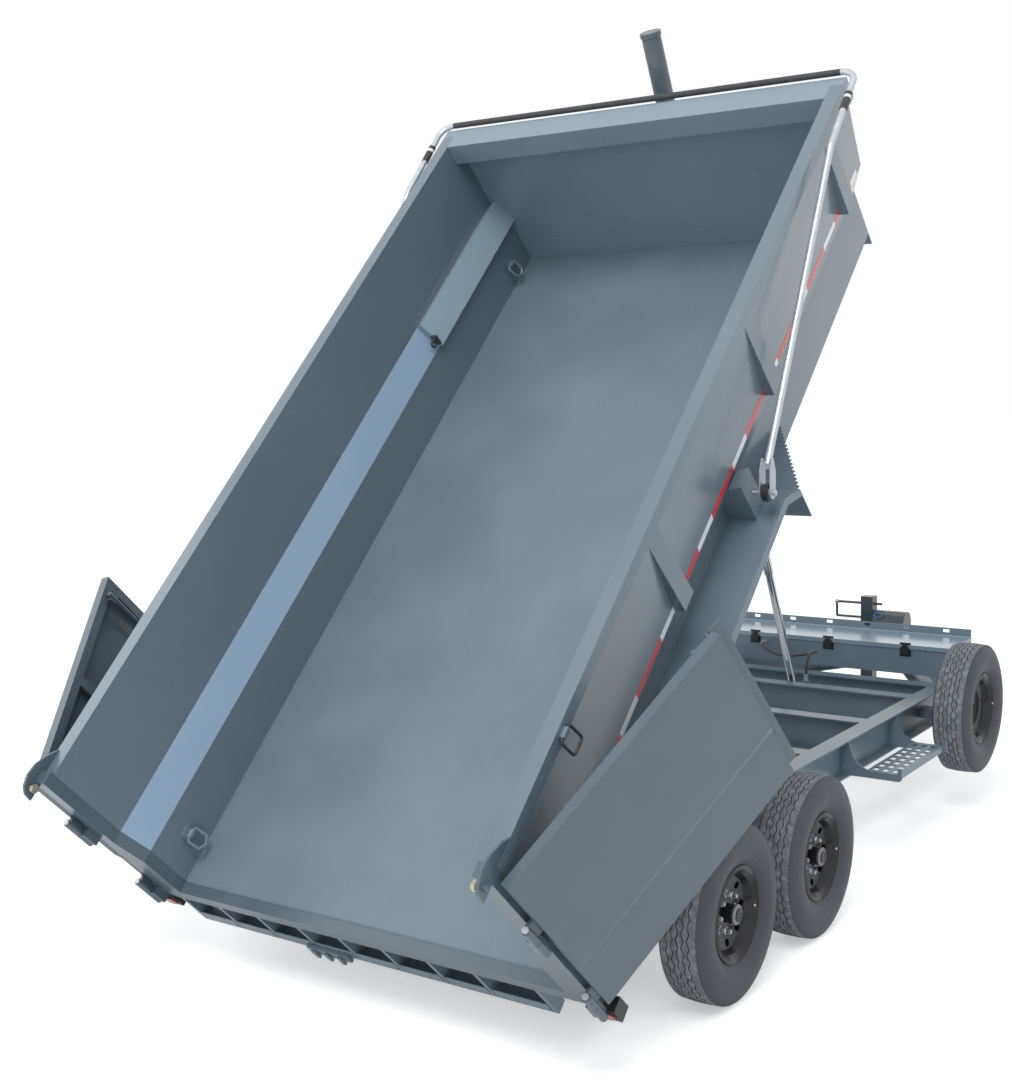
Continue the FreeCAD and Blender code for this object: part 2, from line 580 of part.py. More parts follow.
for row, out in enumerate((118, 172, 226)):
    for i in range(8):
        tread_slots.append(box("TreadSlot%d_%d" % (row, i), (
            "%s + %d" % (WEB_OUT, out), str(TREAD_REAR + 26 + 86 * i), "frame_top - 158"),
            ("32", "56", "6")))
tread_cut = cut("StepTreadCut", tread_plate, tread_slots)
tread_lip = box("StepTreadLip", (WEB_OUT + " + 276", str(TREAD_REAR), "frame_top - 186"),
                ("6", str(TREAD_FRONT - TREAD_REAR), "28"))
node("side_step", fuse("SideStep", step_parts + [tread_cut, tread_lip]), FRAME)

# Hinge brackets and pins at the rear of the frame
hinge_parts = []
for side, sign in (("Left", -1), ("Right", 1)):
    middle = sign * size("hinge_mid")
    for tag, off in (("In", -30), ("Out", 30)):
        low = "%s - plate_thick / 2" % (middle + sign * off)
        hinge_parts.append(pad("HingePlate" + tag + side, "YZ_Plane", [
            ("beam_rear - beam_wide / 2", "frame_top - beam_tall"),
            ("beam_rear - beam_wide / 2", "frame_top"),
            ("20", "frame_top"), ("-22", "hinge_height + 28"), ("-34", "hinge_height + 8"),
            ("-34", "hinge_height - 8"), ("-22", "hinge_height - 28")], low, "plate_thick"))
    hinge_parts.append(rod("HingePin" + side, "x",
                           ("%s - 44" % middle, "0", "hinge_height"), "hinge_pin", "88"))
node("hinge_brackets", group("HingeBrackets", [
    fuse("HingeLeft", hinge_parts[:3]), fuse("HingeRight", hinge_parts[3:])]), FRAME)

# Cylinder foot brackets between the two front crossmembers
pocket_rear = "beam_pocket + beam_wide / 2"
foot_parts = []
for tag, low in (("Left", "-36 - plate_thick"), ("Right", "36")):
    foot_parts.append(pad("CylinderFoot" + tag, "YZ_Plane", [
        (pocket_rear, "foot_high - 110"), ("beam_front - beam_wide / 2", "foot_high - 110"),
        ("beam_front - beam_wide / 2", "foot_high - 20"),
        ("foot_out + 45", "foot_high + 40"), ("foot_out - 45", "foot_high + 40"),
        (pocket_rear, "foot_high + 10")], low, "plate_thick"))
foot_parts.append(rod("CylinderFootPin", "x", ("-56", "foot_out", "foot_high"),
                      "base_pin", "112"))
HOSE_BLOCK = ("36 + plate_thick", "foot_out + 8", "foot_high")
foot_parts.append(box("HoseBlock", HOSE_BLOCK, ("42", "48", "55")))
node("cylinder_foot", fuse("CylinderFoot", foot_parts), FRAME)


def across(formula):
    """A place along the bed, from the floor's rear edge."""
    return "%s - bed_rear" % formula


def above(formula):
    """A height over the bed's floor."""
    return "%s + floor_high" % formula


# Bed floor
floor = box("FloorSheet", ("-floor_half - sheet_thick", across("post_deep"),
                           above("-sheet_thick")),
            ("2 * (floor_half + sheet_thick)", "bed_long - post_deep", "sheet_thick"))
node("bed_floor", group("BedFloor", [floor]), BED)


def subframe_shape():
    """Crossmembers, two long sills and the hinge lugs, as one weldment."""
    low = size("floor_high") - size("sheet_thick") - size("cross_tall")
    tall, wide, wall = size("cross_tall"), size("cross_wide"), size("sheet_thick")
    rear = -size("bed_rear")
    reach = size("cross_half")
    pieces = []
    count = int((size("bed_long") - 200) // size("cross_pitch"))
    for i in range(count + 1):
        y = rear + 110 + i * size("cross_pitch")
        channel = Part.makeBox(2 * reach, wide, tall, Vector(-reach, y, low)).cut(
            Part.makeBox(2 * reach, wide - wall, tall - 2 * wall,
                         Vector(-reach, y + wall, low + wall)))
        pieces.append(channel)
    sill_wide = 38
    for sign in (-1, 1):
        x = sign * size("hinge_mid")
        pieces.append(Part.makeBox(sill_wide, count * size("cross_pitch") + wide, tall,
                                   Vector(x - sill_wide / 2, rear + 110, low)))
        half = size("lug_thick") / 2
        top = low + 10
        profile = Part.makePolygon([Vector(x - half, -45, top), Vector(x - half, 45, top),
                                    Vector(x - half, size("lug_radius"), 0),
                                    Vector(x - half, -size("lug_radius"), 0),
                                    Vector(x - half, -45, top)])
        lug = Part.Face(profile).extrude(Vector(2 * half, 0, 0)).fuse(
            Part.makeCylinder(size("lug_radius"), 2 * half, Vector(x - half, 0, 0),
                              Vector(1, 0, 0)))
        pieces.append(lug)
    welded = pieces[0].multiFuse(pieces[1:])
    for sign in (-1, 1):
        x = sign * size("hinge_mid")
        welded = welded.cut(Part.makeCylinder(size("hinge_pin") + 0.4, 60,
                                              Vector(x - 30, 0, 0), Vector(1, 0, 0)))
    return welded.removeSplitter()


node("bed_subframe", shaped("BedSubframe", subframe_shape()), BED)

# Side walls: lower sheet, slanted facet, upper wall and top rail as one section, with
# wedge-shaped posts that carry the rail from outside
post_count = 1 + int((size("bed_long") - size("post_deep") - size("post_first") -
                      size("post_wide")) / size("post_pitch"))
for side, sign in (("left", "-"), ("right", "")):
    section = [("floor_half", "0"), ("floor_half", "facet_low"), ("top_half", "facet_high"),
               ("top_half", "wall_tall"), ("rail_out", "wall_tall"),
               ("rail_out", "wall_tall - rail_deep"), ("tape_out", "facet_high"),
               ("floor_half + sheet_thick", "facet_low - 4"), ("floor_half + sheet_thick", "0")]
    points = [(sign + "(%s)" % across_u, above(high)) for across_u, high in section]
    wall = pad("Wall" + side.title(), "XZ_Plane", points, across("post_deep"),
               "bed_long - post_deep")
    wedge = [("tape_out - 8", "facet_high + 5"), ("rail_out", "facet_high + 5"),
             ("rail_out", "wall_tall - rail_deep"), ("rail_out - 8", "wall_tall - rail_deep + 8")]
    posts = [pad("SidePost%s%d" % (side.title(), i), "XZ_Plane",
                 [(sign + "(%s)" % u, above(high)) for u, high in wedge],
                 across("post_first + %d * post_pitch - post_wide / 2" % i), "post_wide")
             for i in range(post_count)]
    node(side + "_wall", fuse("WallWhole" + side.title(), [wall] + posts), BED)

# Ledge cover over the front of the left facet
ledge_in, ledge_up = 32, 14
ledge = pad("LedgeCover", "XZ_Plane", [
    ("-floor_half", above("facet_low")), ("-floor_half + %d" % ledge_in,
                                          above("facet_low + %d" % ledge_up)),
    ("-top_half + %d" % ledge_in, above("facet_high + %d" % ledge_up)),
    ("-top_half", above("facet_high"))], across("bed_long - 1029"), "1029")
node("ledge_cover", ledge, BED)

# Headboard: sheet, top beam that overhangs the load, and upright ribs
head_points = [("floor_half + sheet_thick", "-sheet_thick - cross_tall"),
               ("floor_half + sheet_thick", "facet_low - 4"), ("tape_out", "facet_high"),
               ("rail_out", "wall_tall")]
head_outline = [("-(%s)" % u, above(high)) for u, high in head_points]
head_outline += [(u, above(high)) for u, high in reversed(head_points)]
head_sheet = pad("HeadSheet", "XZ_Plane", head_outline, across("bed_long"), "6")
head_in = box("HeadCapIn", ("-top_half", across("bed_long - cap_in"), above("wall_tall - cap_deep")),
              ("2 * top_half", "cap_in", "cap_deep"))
head_over = box("HeadCapOut", ("-rail_out", across("bed_long"), above("wall_tall - cap_deep")),
                ("2 * rail_out", "cap_out", "cap_deep"))
RIB_ROWS = (("FarLeft", -900), ("NearLeft", -450), ("NearRight", 450), ("FarRight", 900))
ribs = [box("HeadRib" + tag, ("%d - 30" % middle, across("bed_long + 6"),
                              above("-sheet_thick - cross_tall")),
            ("60", "cap_out - 6", "wall_tall - cap_deep + sheet_thick + cross_tall"))
        for tag, middle in RIB_ROWS]
node("headboard", fuse("Headboard", [head_sheet, head_in, head_over] + ribs), BED)

# Rear frame: posts with hinge ears, and the sill under the floor's edge
rear_parts = [box("RearSill", ("-rail_out", across("0"), above("-72")),
                  ("2 * rail_out", "post_deep", "72"))]
for side, sign in (("Left", "-"), ("Right", "")):
    section = [("floor_half", "0"), ("floor_half", "facet_low"), ("top_half", "facet_high"),
               ("top_half", "post_top"), ("rail_out", "post_top"), ("rail_out", "0")]
    rear_parts.append(pad("Post" + side, "XZ_Plane",
                          [(sign + "(%s)" % u, above(high)) for u, high in section],
                          across("0"), "post_deep"))
EARS = (("Low", -66), ("High", 470))
BARREL_GAP = 2
for side, sign in (("Left", -1), ("Right", 1)):
    for tag, low in EARS:
        axis_out = "door_axis_out" if sign > 0 else "-door_axis_out"
        ear = box("Ear" + tag + side, (
            "door_axis_out - 40" if sign > 0 else "-door_axis_out",
            across("-door_axis_back - 8"), above(str(low))),
            ("40", "door_axis_back + 8", "barrel_tall"))
        knuckle = rod("Knuckle" + tag + side, "z", (
            axis_out, across("-door_axis_back"), above(str(low))), "barrel", "barrel_tall")
        pin = rod("DoorPin" + tag + side, "z", (
            axis_out, across("-door_axis_back"), above("%d + barrel_tall" % low)), "door_pin",
            "barrel_tall - 5")
        rear_parts += [ear, knuckle, pin]
    # Rounded ear over the post, for the pin that hangs the doors as a spreader gate
    top_ear = pad("TopEar" + side, "YZ_Plane", [
        (across("-72"), above("door_high + 12")), (across("post_deep"), above("door_high + 12")),
        (across("post_deep"), above("wall_tall")), (across("175"), above("wall_tall")), (across("130"), above("post_top + 14")),
        (across("62"), above("post_top + 46")), (across("8"), above("post_top + 52")),
        (across("-42"), above("post_top + 36")), (across("-66"), above("post_top + 8"))],
        "rail_out - 12" if sign > 0 else "-rail_out", "12")
    hang_pin = rod("HangPin" + side, "x", (
        "rail_out - 40" if sign > 0 else "-rail_out - 14", across("-30"),
        above("post_top + 2")), "13", "54")
    rear_parts += [top_ear, hang_pin]
node("rear_frame", fuse("RearFrame", rear_parts), BED)

# Doors: sheet with a pressed step inside, channel frame and latch rod outside, hung on
# barrels that sit on the ears' pins
DOOR_START = 45
DOOR_EDGE = 50
DOOR_SHEET_BACK = 18


def door_profile(points, start, length):
    """Extrude a section in a door's depth and height along the door."""
    spots = [Vector(start, y, z) for y, z in points]
    return Part.Face(Part.makePolygon(spots + spots[:1])).extrude(Vector(length, 0, 0))


def door_shape(sign):
    """A door drawn closed, with its hinge axis at the origin of its own frame."""
    width = size("door_axis_out") - size("door_gap") / 2
    low, high = -size("door_low"), size("door_high")
    half, thin = size("door_thick") / 2, size("door_sheet")
    deep = half - size("step_deep")
    step_low, step_high = size("step_low"), size("step_high")
    start, edge = DOOR_START, DOOR_EDGE
    back = half - DOOR_SHEET_BACK
    face = [(deep, low), (deep, step_low), (half, step_high), (half, high)]
    behind = [(half - thin, high), (half - thin, step_high + 1), (deep - thin, step_low + 1),
              (deep - thin, low)]
    panel = door_profile(face + behind, start, width - start)
    closed = face + [(-half, high), (-half, low)]
    pieces = [door_profile(closed, start, thin), door_profile(closed, width - thin, thin),
              Part.makeBox(width - start, 2 * half, thin, Vector(start, -half, high - thin))]
    rows = ((start, low, width - start, edge), (start, high - edge, width - start, edge),
            (start, low, edge, high - low), (width - edge, low, edge, high - low),
            ((start + width - edge) / 2, low, edge, high - low),
            (start, (low + high - edge) / 2, width - start, edge))
    for x, z, long, tall in rows:
        pieces.append(Part.makeBox(long, back + half, tall, Vector(x, -half, z)))
    rod_x, rod_y = width - 95, -half - 18
    rod_radius = size("latch_rod")
    pieces.append(Part.makeCylinder(rod_radius, high - low - 40, Vector(rod_x, rod_y, low + 20)))
    for z in (low + 40, (low + high) / 2 - 20, high - 80):
        pieces.append(Part.makeBox(44, 24, 40, Vector(rod_x - 22, -half - 24, z)))
    pieces.append(Part.makeBox(size("latch_bar"), 8, 28,
                               Vector(rod_x - size("latch_bar"), rod_y - 4, size("latch_high"))))
    if sign > 0:
        pieces.append(Part.makeBox(30 + size("flange_over"), 6, high - low,
                                   Vector(width - 30, -half - 12, low)))
        pieces.append(Part.makeBox(12, 6, high - low, Vector(width - 30, -half - 6, low)))
    tall = size("barrel_tall") - 6
    for tag, ear_low in EARS:
        z = ear_low + size("barrel_tall") + BARREL_GAP
        pieces.append(Part.makeBox(start + edge, 12, tall, Vector(0, -half, z)))
        pieces.append(Part.makeCylinder(size("barrel"), tall, Vector(0, 0, z)))
    door = panel.multiFuse(pieces)
    for tag, ear_low in EARS:
        door = door.cut(Part.makeCylinder(size("door_pin") + 0.4, tall, Vector(
            0, 0, ear_low + size("barrel_tall") + BARREL_GAP)))
    door = door.removeSplitter()
    if sign > 0:
        door = door.mirror(Vector(), Vector(1, 0, 0))
    return door


for side, sign in (("left", -1), ("right", 1)):
    axis = Vector(sign * size("door_axis_out"), -size("bed_rear") - size("door_axis_back"),
                  size("floor_high"))
    swing = Placement(axis, Rotation(Vector(0, 0, 1), sign * size("door_open")))
    node(side + "_door", shaped("Door" + side.title(), door_shape(sign)), BED.multiply(swing))

# Fenders over the wheels, folded from plate with sloping ends and end flaps, on the bed's
# lower walls
AXLES_MID = "(axle_front + axle_rear) / 2"
for side, sign in (("left", "-"), ("right", "")):
    thick = "sheet_thick"
    ends = [("%s - fender_half" % AXLES_MID, above("fender_high - fender_drop")),
            ("%s - fender_half + fender_slope" % AXLES_MID, above("fender_high")),
            ("%s + fender_half - fender_slope" % AXLES_MID, above("fender_high")),
            ("%s + fender_half" % AXLES_MID, above("fender_high - fender_drop"))]
    under = [(y, "%s - %s" % (z, thick)) for y, z in reversed(ends)]
    inner = "floor_half + sheet_thick"
    low = inner if sign == "" else "-fender_out"
    span = "fender_out - floor_half - sheet_thick"
    top = pad("Fender" + side.title(), "YZ_Plane", ends + under, low, span)
    lip_low = "fender_out - sheet_thick" if sign == "" else "-fender_out"
    lip_under = [(y, "%s - fender_lip" % z) for y, z in reversed(ends)]
    lip = pad("FenderLip" + side.title(), "YZ_Plane", ends + lip_under, lip_low, "sheet_thick")
    flaps = [box("FenderFlap%s%s" % (tag, side.title()), (low, spot, above("-flap_low")),
                 (span, thick, "flap_low + fender_high - fender_drop - sheet_thick / 2"))
             for tag, spot in (("Rear", "%s - fender_half" % AXLES_MID),
                               ("Front", "%s + fender_half - %s" % (AXLES_MID, thick)))]
    node(side + "_fender", fuse("FenderWhole" + side.title(), [top, lip] + flaps), BED)

# Step plates ahead of the fenders, with toothed outer edges
TEETH = 17
step_plates = []
tread_z = size("floor_high") + size("fender_high") - size("fender_drop") - size("sheet_thick")
tread_y = (size("axle_front") + size("axle_rear")) / 2 + size("fender_half")
tread_in, tread_out = size("floor_half") + size("sheet_thick"), size("fender_out")
for sign in (-1, 1):
    edge_start = Vector(tread_out, tread_y, tread_z)
    edge_run = Vector(tread_in + 22, tread_y + size("tread_reach"), tread_z) - edge_start
    outward = Vector(edge_run.y, -edge_run.x, 0).normalize()
    corners = [Vector(tread_in, tread_y, tread_z), edge_start]
    for i in range(TEETH):
        corners.append(edge_start + edge_run * ((i + 0.25) / TEETH) - outward * 9)
        corners.append(edge_start + edge_run * ((i + 0.60) / TEETH) - outward * 9)
        corners.append(edge_start + edge_run * ((i + 0.75) / TEETH))
        corners.append(edge_start + edge_run * ((i + 1.0) / TEETH))
    corners.append(Vector(tread_in, tread_y + size("tread_reach"), tread_z))
    corners = [Vector(sign * each.x, each.y, each.z) for each in corners]
    face = Part.Face(Part.makePolygon(corners + corners[:1]))
    step_plates.append(face.extrude(Vector(0, 0, size("sheet_thick"))))
node("step_plates", shaped("StepPlates", Part.Compound(step_plates)), BED)

# Tail lamp boxes under the outer ends of the rear sill
lamps = [box("TailLamp" + side, (low, across("-6"), above("-160")), ("95", "66", "88"))
         for side, low in (("Left", "-rail_out - 55"), ("Right", "rail_out - 40"))]
node("tail_lamps", group("TailLamps", lamps), BED)

# Ramp rack under the rear sill
rack = [box("RackBar", ("-1100", across("0"), above("-280")), ("2000", "60", "20"))]
for i, spot in enumerate((-1100, -860, -620, -380, -140, 100, 340, 580, 880)):
    rack.append(box("RackDivider%d" % i, (str(spot), across("0"), above("-260")),
                    ("20", "60", "188")))
node("ramp_rack", fuse("RampRack", rack), BED)

# Cylinder brackets on the headboard, whose stub pins hold the cover's collar
HEAD_FACE = "bed_long + 6"
bracket_parts = []
for tag, low in (("Left", "-76 - plate_thick"), ("Right", "76")):
    bracket_parts.append(pad("EyePlate" + tag, "YZ_Plane", [
        (across(HEAD_FACE), above("eye_high - 160")), (across("bed_long + eye_ahead + 30"), above("eye_high - 40")),
        (across("bed_long + eye_ahead + 40"), above("eye_high")), (across("bed_long + eye_ahead + 30"), above("eye_high + 40")),
        (across(HEAD_FACE), above("eye_high + 160"))], low, "plate_thick"))
for tag, low in (("Left", "-84"), ("Right", "cap_radius + stage_gap")):
    bracket_parts.append(rod("EyePin" + tag, "x", (low, across("bed_long + eye_ahead"), above("eye_high")),
                             "base_pin + 3", "84 - cap_radius - stage_gap"))
node("cylinder_brackets", group("CylinderBrackets", [
    fuse("EyeLeft", [bracket_parts[0], bracket_parts[2]]),
    fuse("EyeRight", [bracket_parts[1], bracket_parts[3]])]), BED)

# Telescopic cylinder, from its foot's pin up, at the raised bed's length and lean
foot_spot = Vector(0, size("foot_out"), size("foot_high"))
tilt = math.radians(size("bed_tilt"))


def eye_spot(angle):
    """Where the bed's cylinder pins stand at a tilt."""
    y = size("bed_long") + size("eye_ahead") - size("bed_rear")
    z = size("eye_high") + size("floor_high")
    return Vector(0, y * math.cos(angle) - z * math.sin(angle),
                  size("hinge_height") + y * math.sin(angle) + z * math.cos(angle))


raised = eye_spot(tilt) - foot_spot
lowered = eye_spot(0) - foot_spot
STAGES = 4
stroke = (raised.Length - lowered.Length) / STAGES
lean = math.degrees(math.atan2(-raised.y, raised.z))
CYLINDER = Placement(foot_spot - Vector(0, size("jack_out"), 0), Rotation(Vector(1, 0, 0), lean))
closed_top = lowered.Length + size("cover_above")


def ring(outer, inner, low, high):
    """A tube along the cylinder's own axis."""
    return Part.makeCylinder(outer, high - low, Vector(0, 0, low)).cut(
        Part.makeCylinder(inner, high - low, Vector(0, 0, low)))


rod_top = closed_top - 40
base_eye = Part.makeCylinder(36, 60, Vector(-30, 0, 0), Vector(1, 0, 0))
first = Part.makeCylinder(size("rod_radius"), rod_top, Vector()).fuse(base_eye).cut(
    Part.makeCylinder(size("base_pin") + 0.4, 60, Vector(-30, 0, 0), Vector(1, 0, 0)))
node("cylinder_rod", shaped("CylinderRod", first.removeSplitter()), CYLINDER)
for i in range(1, STAGES):
    outer = size("rod_radius") + i * size("stage_step")
    inner = outer - size("stage_step") + size("stage_gap")
    low = lowered.Length - size("cover_below") - 20 * (STAGES - i)
    tube = ring(outer, inner, low, rod_top + 6 * i)
    place = CYLINDER.multiply(Placement(Vector(0, 0, stroke * i), Rotation()))
    node("cylinder_stage_%d" % (i + 1), shaped("CylinderStage%d" % (i + 1), tube), place)
cover_in = size("rod_radius") + (STAGES - 1) * size("stage_step") + size("stage_gap")
cover_low = lowered.Length - size("cover_below")
cover = ring(size("cover_radius"), cover_in, cover_low, closed_top - 12).multiFuse([
    Part.makeCylinder(size("cap_radius"), 24, Vector(0, 0, closed_top - 12)),
    ring(size("cap_radius"), cover_in, lowered.Length - 40, lowered.Length + 40)])
node("cylinder_cover", shaped("CylinderCover", cover.removeSplitter()),
     CYLINDER.multiply(Placement(Vector(0, 0, stroke * STAGES), Rotation())))

def tube_path(points, radius, bend):
    """A round tube through points, with arcs of one radius at its corners."""
    edges = []
    last = points[0]
    for before, corner, after in zip(points, points[1:], points[2:]):
        into = (before - corner).normalize()
        out = (after - corner).normalize()
        half = math.acos(max(-1, min(1, into.dot(out)))) / 2
        back = bend / math.tan(half)
        start, end = corner + into * back, corner + out * back
        middle = corner + (into + out).normalize() * (bend / math.sin(half) - bend)
        edges.append(Part.LineSegment(last, start).toShape())
        edges.append(Part.Arc(start, middle, end).toShape())
        last = end
    edges.append(Part.LineSegment(last, points[-1]).toShape())
    ring_edge = Part.Circle(points[0], points[1] - points[0], radius).toShape()
    return Part.Wire(edges).makePipeShell([Part.Wire(ring_edge)], True, False)


# Hydraulic hose from the toolbox to the cylinder's foot
hose_x = 36 + size("plate_thick") + 21
hose_points = [Vector(-430, size("box_rear"), 800), Vector(-430, size("box_rear") - 100, 800),
               Vector(-230, size("box_rear") - 170, 735), Vector(hose_x - 9, size("box_rear") - 170,
                                                                 800),
               Vector(hose_x, size("foot_out") + 32, 850),
               Vector(hose_x, size("foot_out") + 32, size("foot_high") + 55)]
node("hydraulic_hose", shaped("HydraulicHose", tube_path(
    hose_points, size("hose_radius"), size("hose_bend"))), FRAME)

# Tarp bow: two side arms, each on its fork, and the cross tube ahead of the headboard
pivot_y = size("arm_pivot") - size("bed_rear")
pivot_z = size("arm_pivot_high") + size("floor_high")
fork_lean = math.radians(45)
fork_turn = Rotation(Vector(1, 0, 0), math.degrees(fork_lean) - 90)
arm_u, fork_half, fork_gap = size("arm_out"), size("fork_half"), size("fork_gap")
arm_start = size("fork_long") - 30


def bow_spot(out, along, high):
    """A point of the bow from its distances out, along the bed and over the floor."""
    return Vector(out, size(along) - size("arm_pivot"), size(high) - size("arm_pivot_high"))


right_arm = [Vector(arm_u, arm_start * math.cos(fork_lean), arm_start * math.sin(fork_lean)),
             bow_spot(size("arm_knee_out"), "arm_knee", "arm_knee_high"),
             bow_spot(size("arm_elbow_out"), "arm_reach", "arm_top")]
left_arm = [Vector(-each.x, each.y, each.z) for each in reversed(right_arm)]
bow_parts = [tube_path(right_arm + left_arm, size("arm_radius"), 80)]
for sign in (-1, 1):
    for start in (-fork_gap / 2 - size("fork_plate"), fork_gap / 2):
        plate = Part.Face(Part.makePolygon([Vector(start, y, z) for y, z in (
            (-fork_half, 0), (fork_half, 0), (fork_half, 95), (6, size("fork_long")),
            (-6, size("fork_long")), (-fork_half, 95), (-fork_half, 0))])).extrude(
            Vector(size("fork_plate"), 0, 0))
        plate = plate.fuse(Part.makeCylinder(fork_half, size("fork_plate"),
                                             Vector(start, 0, 0), Vector(1, 0, 0)))
        plate = plate.cut(Part.makeCylinder(size("arm_bolt") + 0.4, size("fork_plate"),
                                            Vector(start, 0, 0), Vector(1, 0, 0)))
        plate.Placement = Placement(Vector(sign * arm_u, 0, 0), fork_turn)
        bow_parts.append(plate)
    bridge = Part.makeBox(fork_gap, 30, 26, Vector(-fork_gap / 2, -15, arm_start - 18))
    bridge.Placement = Placement(Vector(sign * arm_u, 0, 0), fork_turn)
    bow_parts.append(bridge)
bow_shape = bow_parts[0].multiFuse(bow_parts[1:])
BOW = BED.multiply(Placement(Vector(0, pivot_y, pivot_z), Rotation()))
node("tarp_bow", shaped("TarpBow", bow_shape.removeSplitter()), BOW)

# Tarp arm brackets: gussets that stand on the fenders against the facets, with the spring
# drums and pivot bolts of the forks
drum_parts = []
wall_u, plate_u = size("floor_half") + size("sheet_thick"), 1200
facet_rise = size("facet_high") - size("facet_low") + 4
facet_run = size("tape_out") - wall_u
for sign in (-1, 1):
    top_share = 0.8
    section = [(wall_u, size("fender_high")), (plate_u, size("fender_high")),
               (plate_u, size("facet_high") - 10),
               (wall_u + facet_run * top_share, size("facet_low") - 4 + facet_rise * top_share),
               (wall_u, size("facet_low") - 4)]
    spots = [Vector(sign * u, pivot_y - 60, w + size("floor_high")) for u, w in section]
    gusset = Part.Face(Part.makePolygon(spots + spots[:1])).extrude(Vector(0, 110, 0))
    bolt_long = size("arm_out") + 32 - plate_u
    rounds = [(size("arm_bolt"), plate_u, bolt_long),
              (size("drum_radius"), arm_u - size("drum_wide") / 2, size("drum_wide")),
              (13, plate_u + bolt_long, 8)]
    turned_parts = [Part.makeCylinder(radius, long, Vector(sign * out, pivot_y, pivot_z),
                                      Vector(sign, 0, 0)) for radius, out, long in rounds]
    drum_parts.append(gusset.multiFuse(turned_parts).removeSplitter())
node("tarp_pivots", shaped("TarpPivots", Part.Compound(drum_parts)), BED)

doc.recompute()
for each in doc.Objects:
    if "Invalid" in each.State or "Error" in each.State:
        raise RuntimeError("%s failed: %s" % (each.Name, each.State))
os.makedirs("parts", exist_ok=True)
for label, piece in nodes.items():
    shape = piece.Shape
    if shape.isNull() or not shape.isValid() or not shape.Solids:
        raise RuntimeError(label + " has no valid solid")
    shape.exportStep("parts/%s.step" % label)
    print("%-20s %3d solids %12.1f cm3" % (label, len(shape.Solids), shape.Volume / 1000))
print(len(nodes), "pieces, cylinder stroke", round(stroke, 1), "lean", round(lean, 2))
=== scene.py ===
"""Finishes and fine parts of a tandem dump trailer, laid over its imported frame."""

import json
import logging
import math
from dataclasses import dataclass
from enum import Enum
from itertools import cycle
from typing import Callable, Sequence

import bpy
from mathutils import Matrix, Vector

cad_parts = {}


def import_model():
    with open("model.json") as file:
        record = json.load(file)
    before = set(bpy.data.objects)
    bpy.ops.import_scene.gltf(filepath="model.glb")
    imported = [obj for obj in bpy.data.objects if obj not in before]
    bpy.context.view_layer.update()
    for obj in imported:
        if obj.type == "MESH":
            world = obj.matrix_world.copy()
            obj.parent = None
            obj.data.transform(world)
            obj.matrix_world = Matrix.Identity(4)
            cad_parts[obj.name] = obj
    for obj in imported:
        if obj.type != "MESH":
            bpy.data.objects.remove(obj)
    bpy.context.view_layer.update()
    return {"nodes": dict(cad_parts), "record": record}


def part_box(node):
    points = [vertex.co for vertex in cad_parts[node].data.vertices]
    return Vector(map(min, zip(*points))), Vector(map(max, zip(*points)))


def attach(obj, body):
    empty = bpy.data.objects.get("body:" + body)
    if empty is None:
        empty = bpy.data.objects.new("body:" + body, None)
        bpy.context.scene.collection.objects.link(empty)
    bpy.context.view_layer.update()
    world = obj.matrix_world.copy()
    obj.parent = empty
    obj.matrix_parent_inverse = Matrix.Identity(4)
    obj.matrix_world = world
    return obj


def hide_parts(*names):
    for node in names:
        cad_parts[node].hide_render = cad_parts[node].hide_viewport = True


LOG = logging.getLogger("dump_trailer")

Colour = tuple[float, float, float]
Spot = Sequence[float]
Tree = bpy.types.NodeTree
Socket = bpy.types.NodeSocket

TILT = math.radians(45)
JACK_OUT = 5.336
HINGE_HIGH = 0.619
BED_REAR = 0.472
FLOOR_HIGH = 0.130
FLOOR_HALF = 1.055
RAIL_OUT = 1.190
WALL_TALL = 0.921
TAPE_OUT = 1.140
FACET_HIGH = 0.438
DOOR_AXIS_OUT = 1.215
DOOR_AXIS_BACK = 0.035
TYRE_MID = 1.182
TYRE_RADIUS = 0.391
ARM_OUT = 1.270
ARM_PIVOT = (2.230, 0.325)
AXLES = {"front": 1.519, "rear": 0.618}
SPARE_SPOT = (3.940, 0.627)
BOX_REAR = 4.5
FOOT_OUT = 4.03
FOOT_HIGH = 0.6
JACK_TOP = 1.04
JACK_SIDE = 0.089
CYLINDER_WAY = (0.0, -0.424814, 0.905281)

WEAR_RISE = (0.42, 0.68)
SCRATCH_RISE = (0.60, 0.66)
GLOSS_RISE = (0.3, 0.7)
SCRATCH_STRETCH = (1.0, 0.05, 0.05)
BUMP_DEEP = 0.002
COAT_ROUGHNESS = 0.18
SMOOTH_TO = 35.0

FRAME = Matrix.Translation((0, -JACK_OUT, 0))
BED = (Matrix.Translation((0, -JACK_OUT, HINGE_HIGH)) @ Matrix.Rotation(TILT, 4, "X")
       @ Matrix.Translation((0, -BED_REAR, FLOOR_HIGH)))


def wheel_frame(sign: int, along: float, high: float = TYRE_RADIUS) -> Matrix:
    """Give the frame of a wheel, whose outer side looks along its own X.

    Args:
        sign: -1 for the left side and 1 for the right one.
        along: distance ahead of the bed's hinge axis.
        high: height of the wheel's middle.

    Returns:
        The wheel's matrix.
    """
    turn = Matrix.Rotation(math.pi if sign < 0 else 0.0, 4, "Z")
    return Matrix.Translation((sign * TYRE_MID, along - JACK_OUT, high)) @ turn


def polygon(radius: float, sides: int) -> list[tuple[float, float]]:
    """Give a regular polygon, which also stands for a circle.

    Args:
        radius: middle to corner.
        sides: number of sides.

    Returns:
        Its corners as pairs, anticlockwise.
    """
    angles = [2 * math.pi * side / sides for side in range(sides)]
    return [(radius * math.cos(angle), radius * math.sin(angle)) for angle in angles]


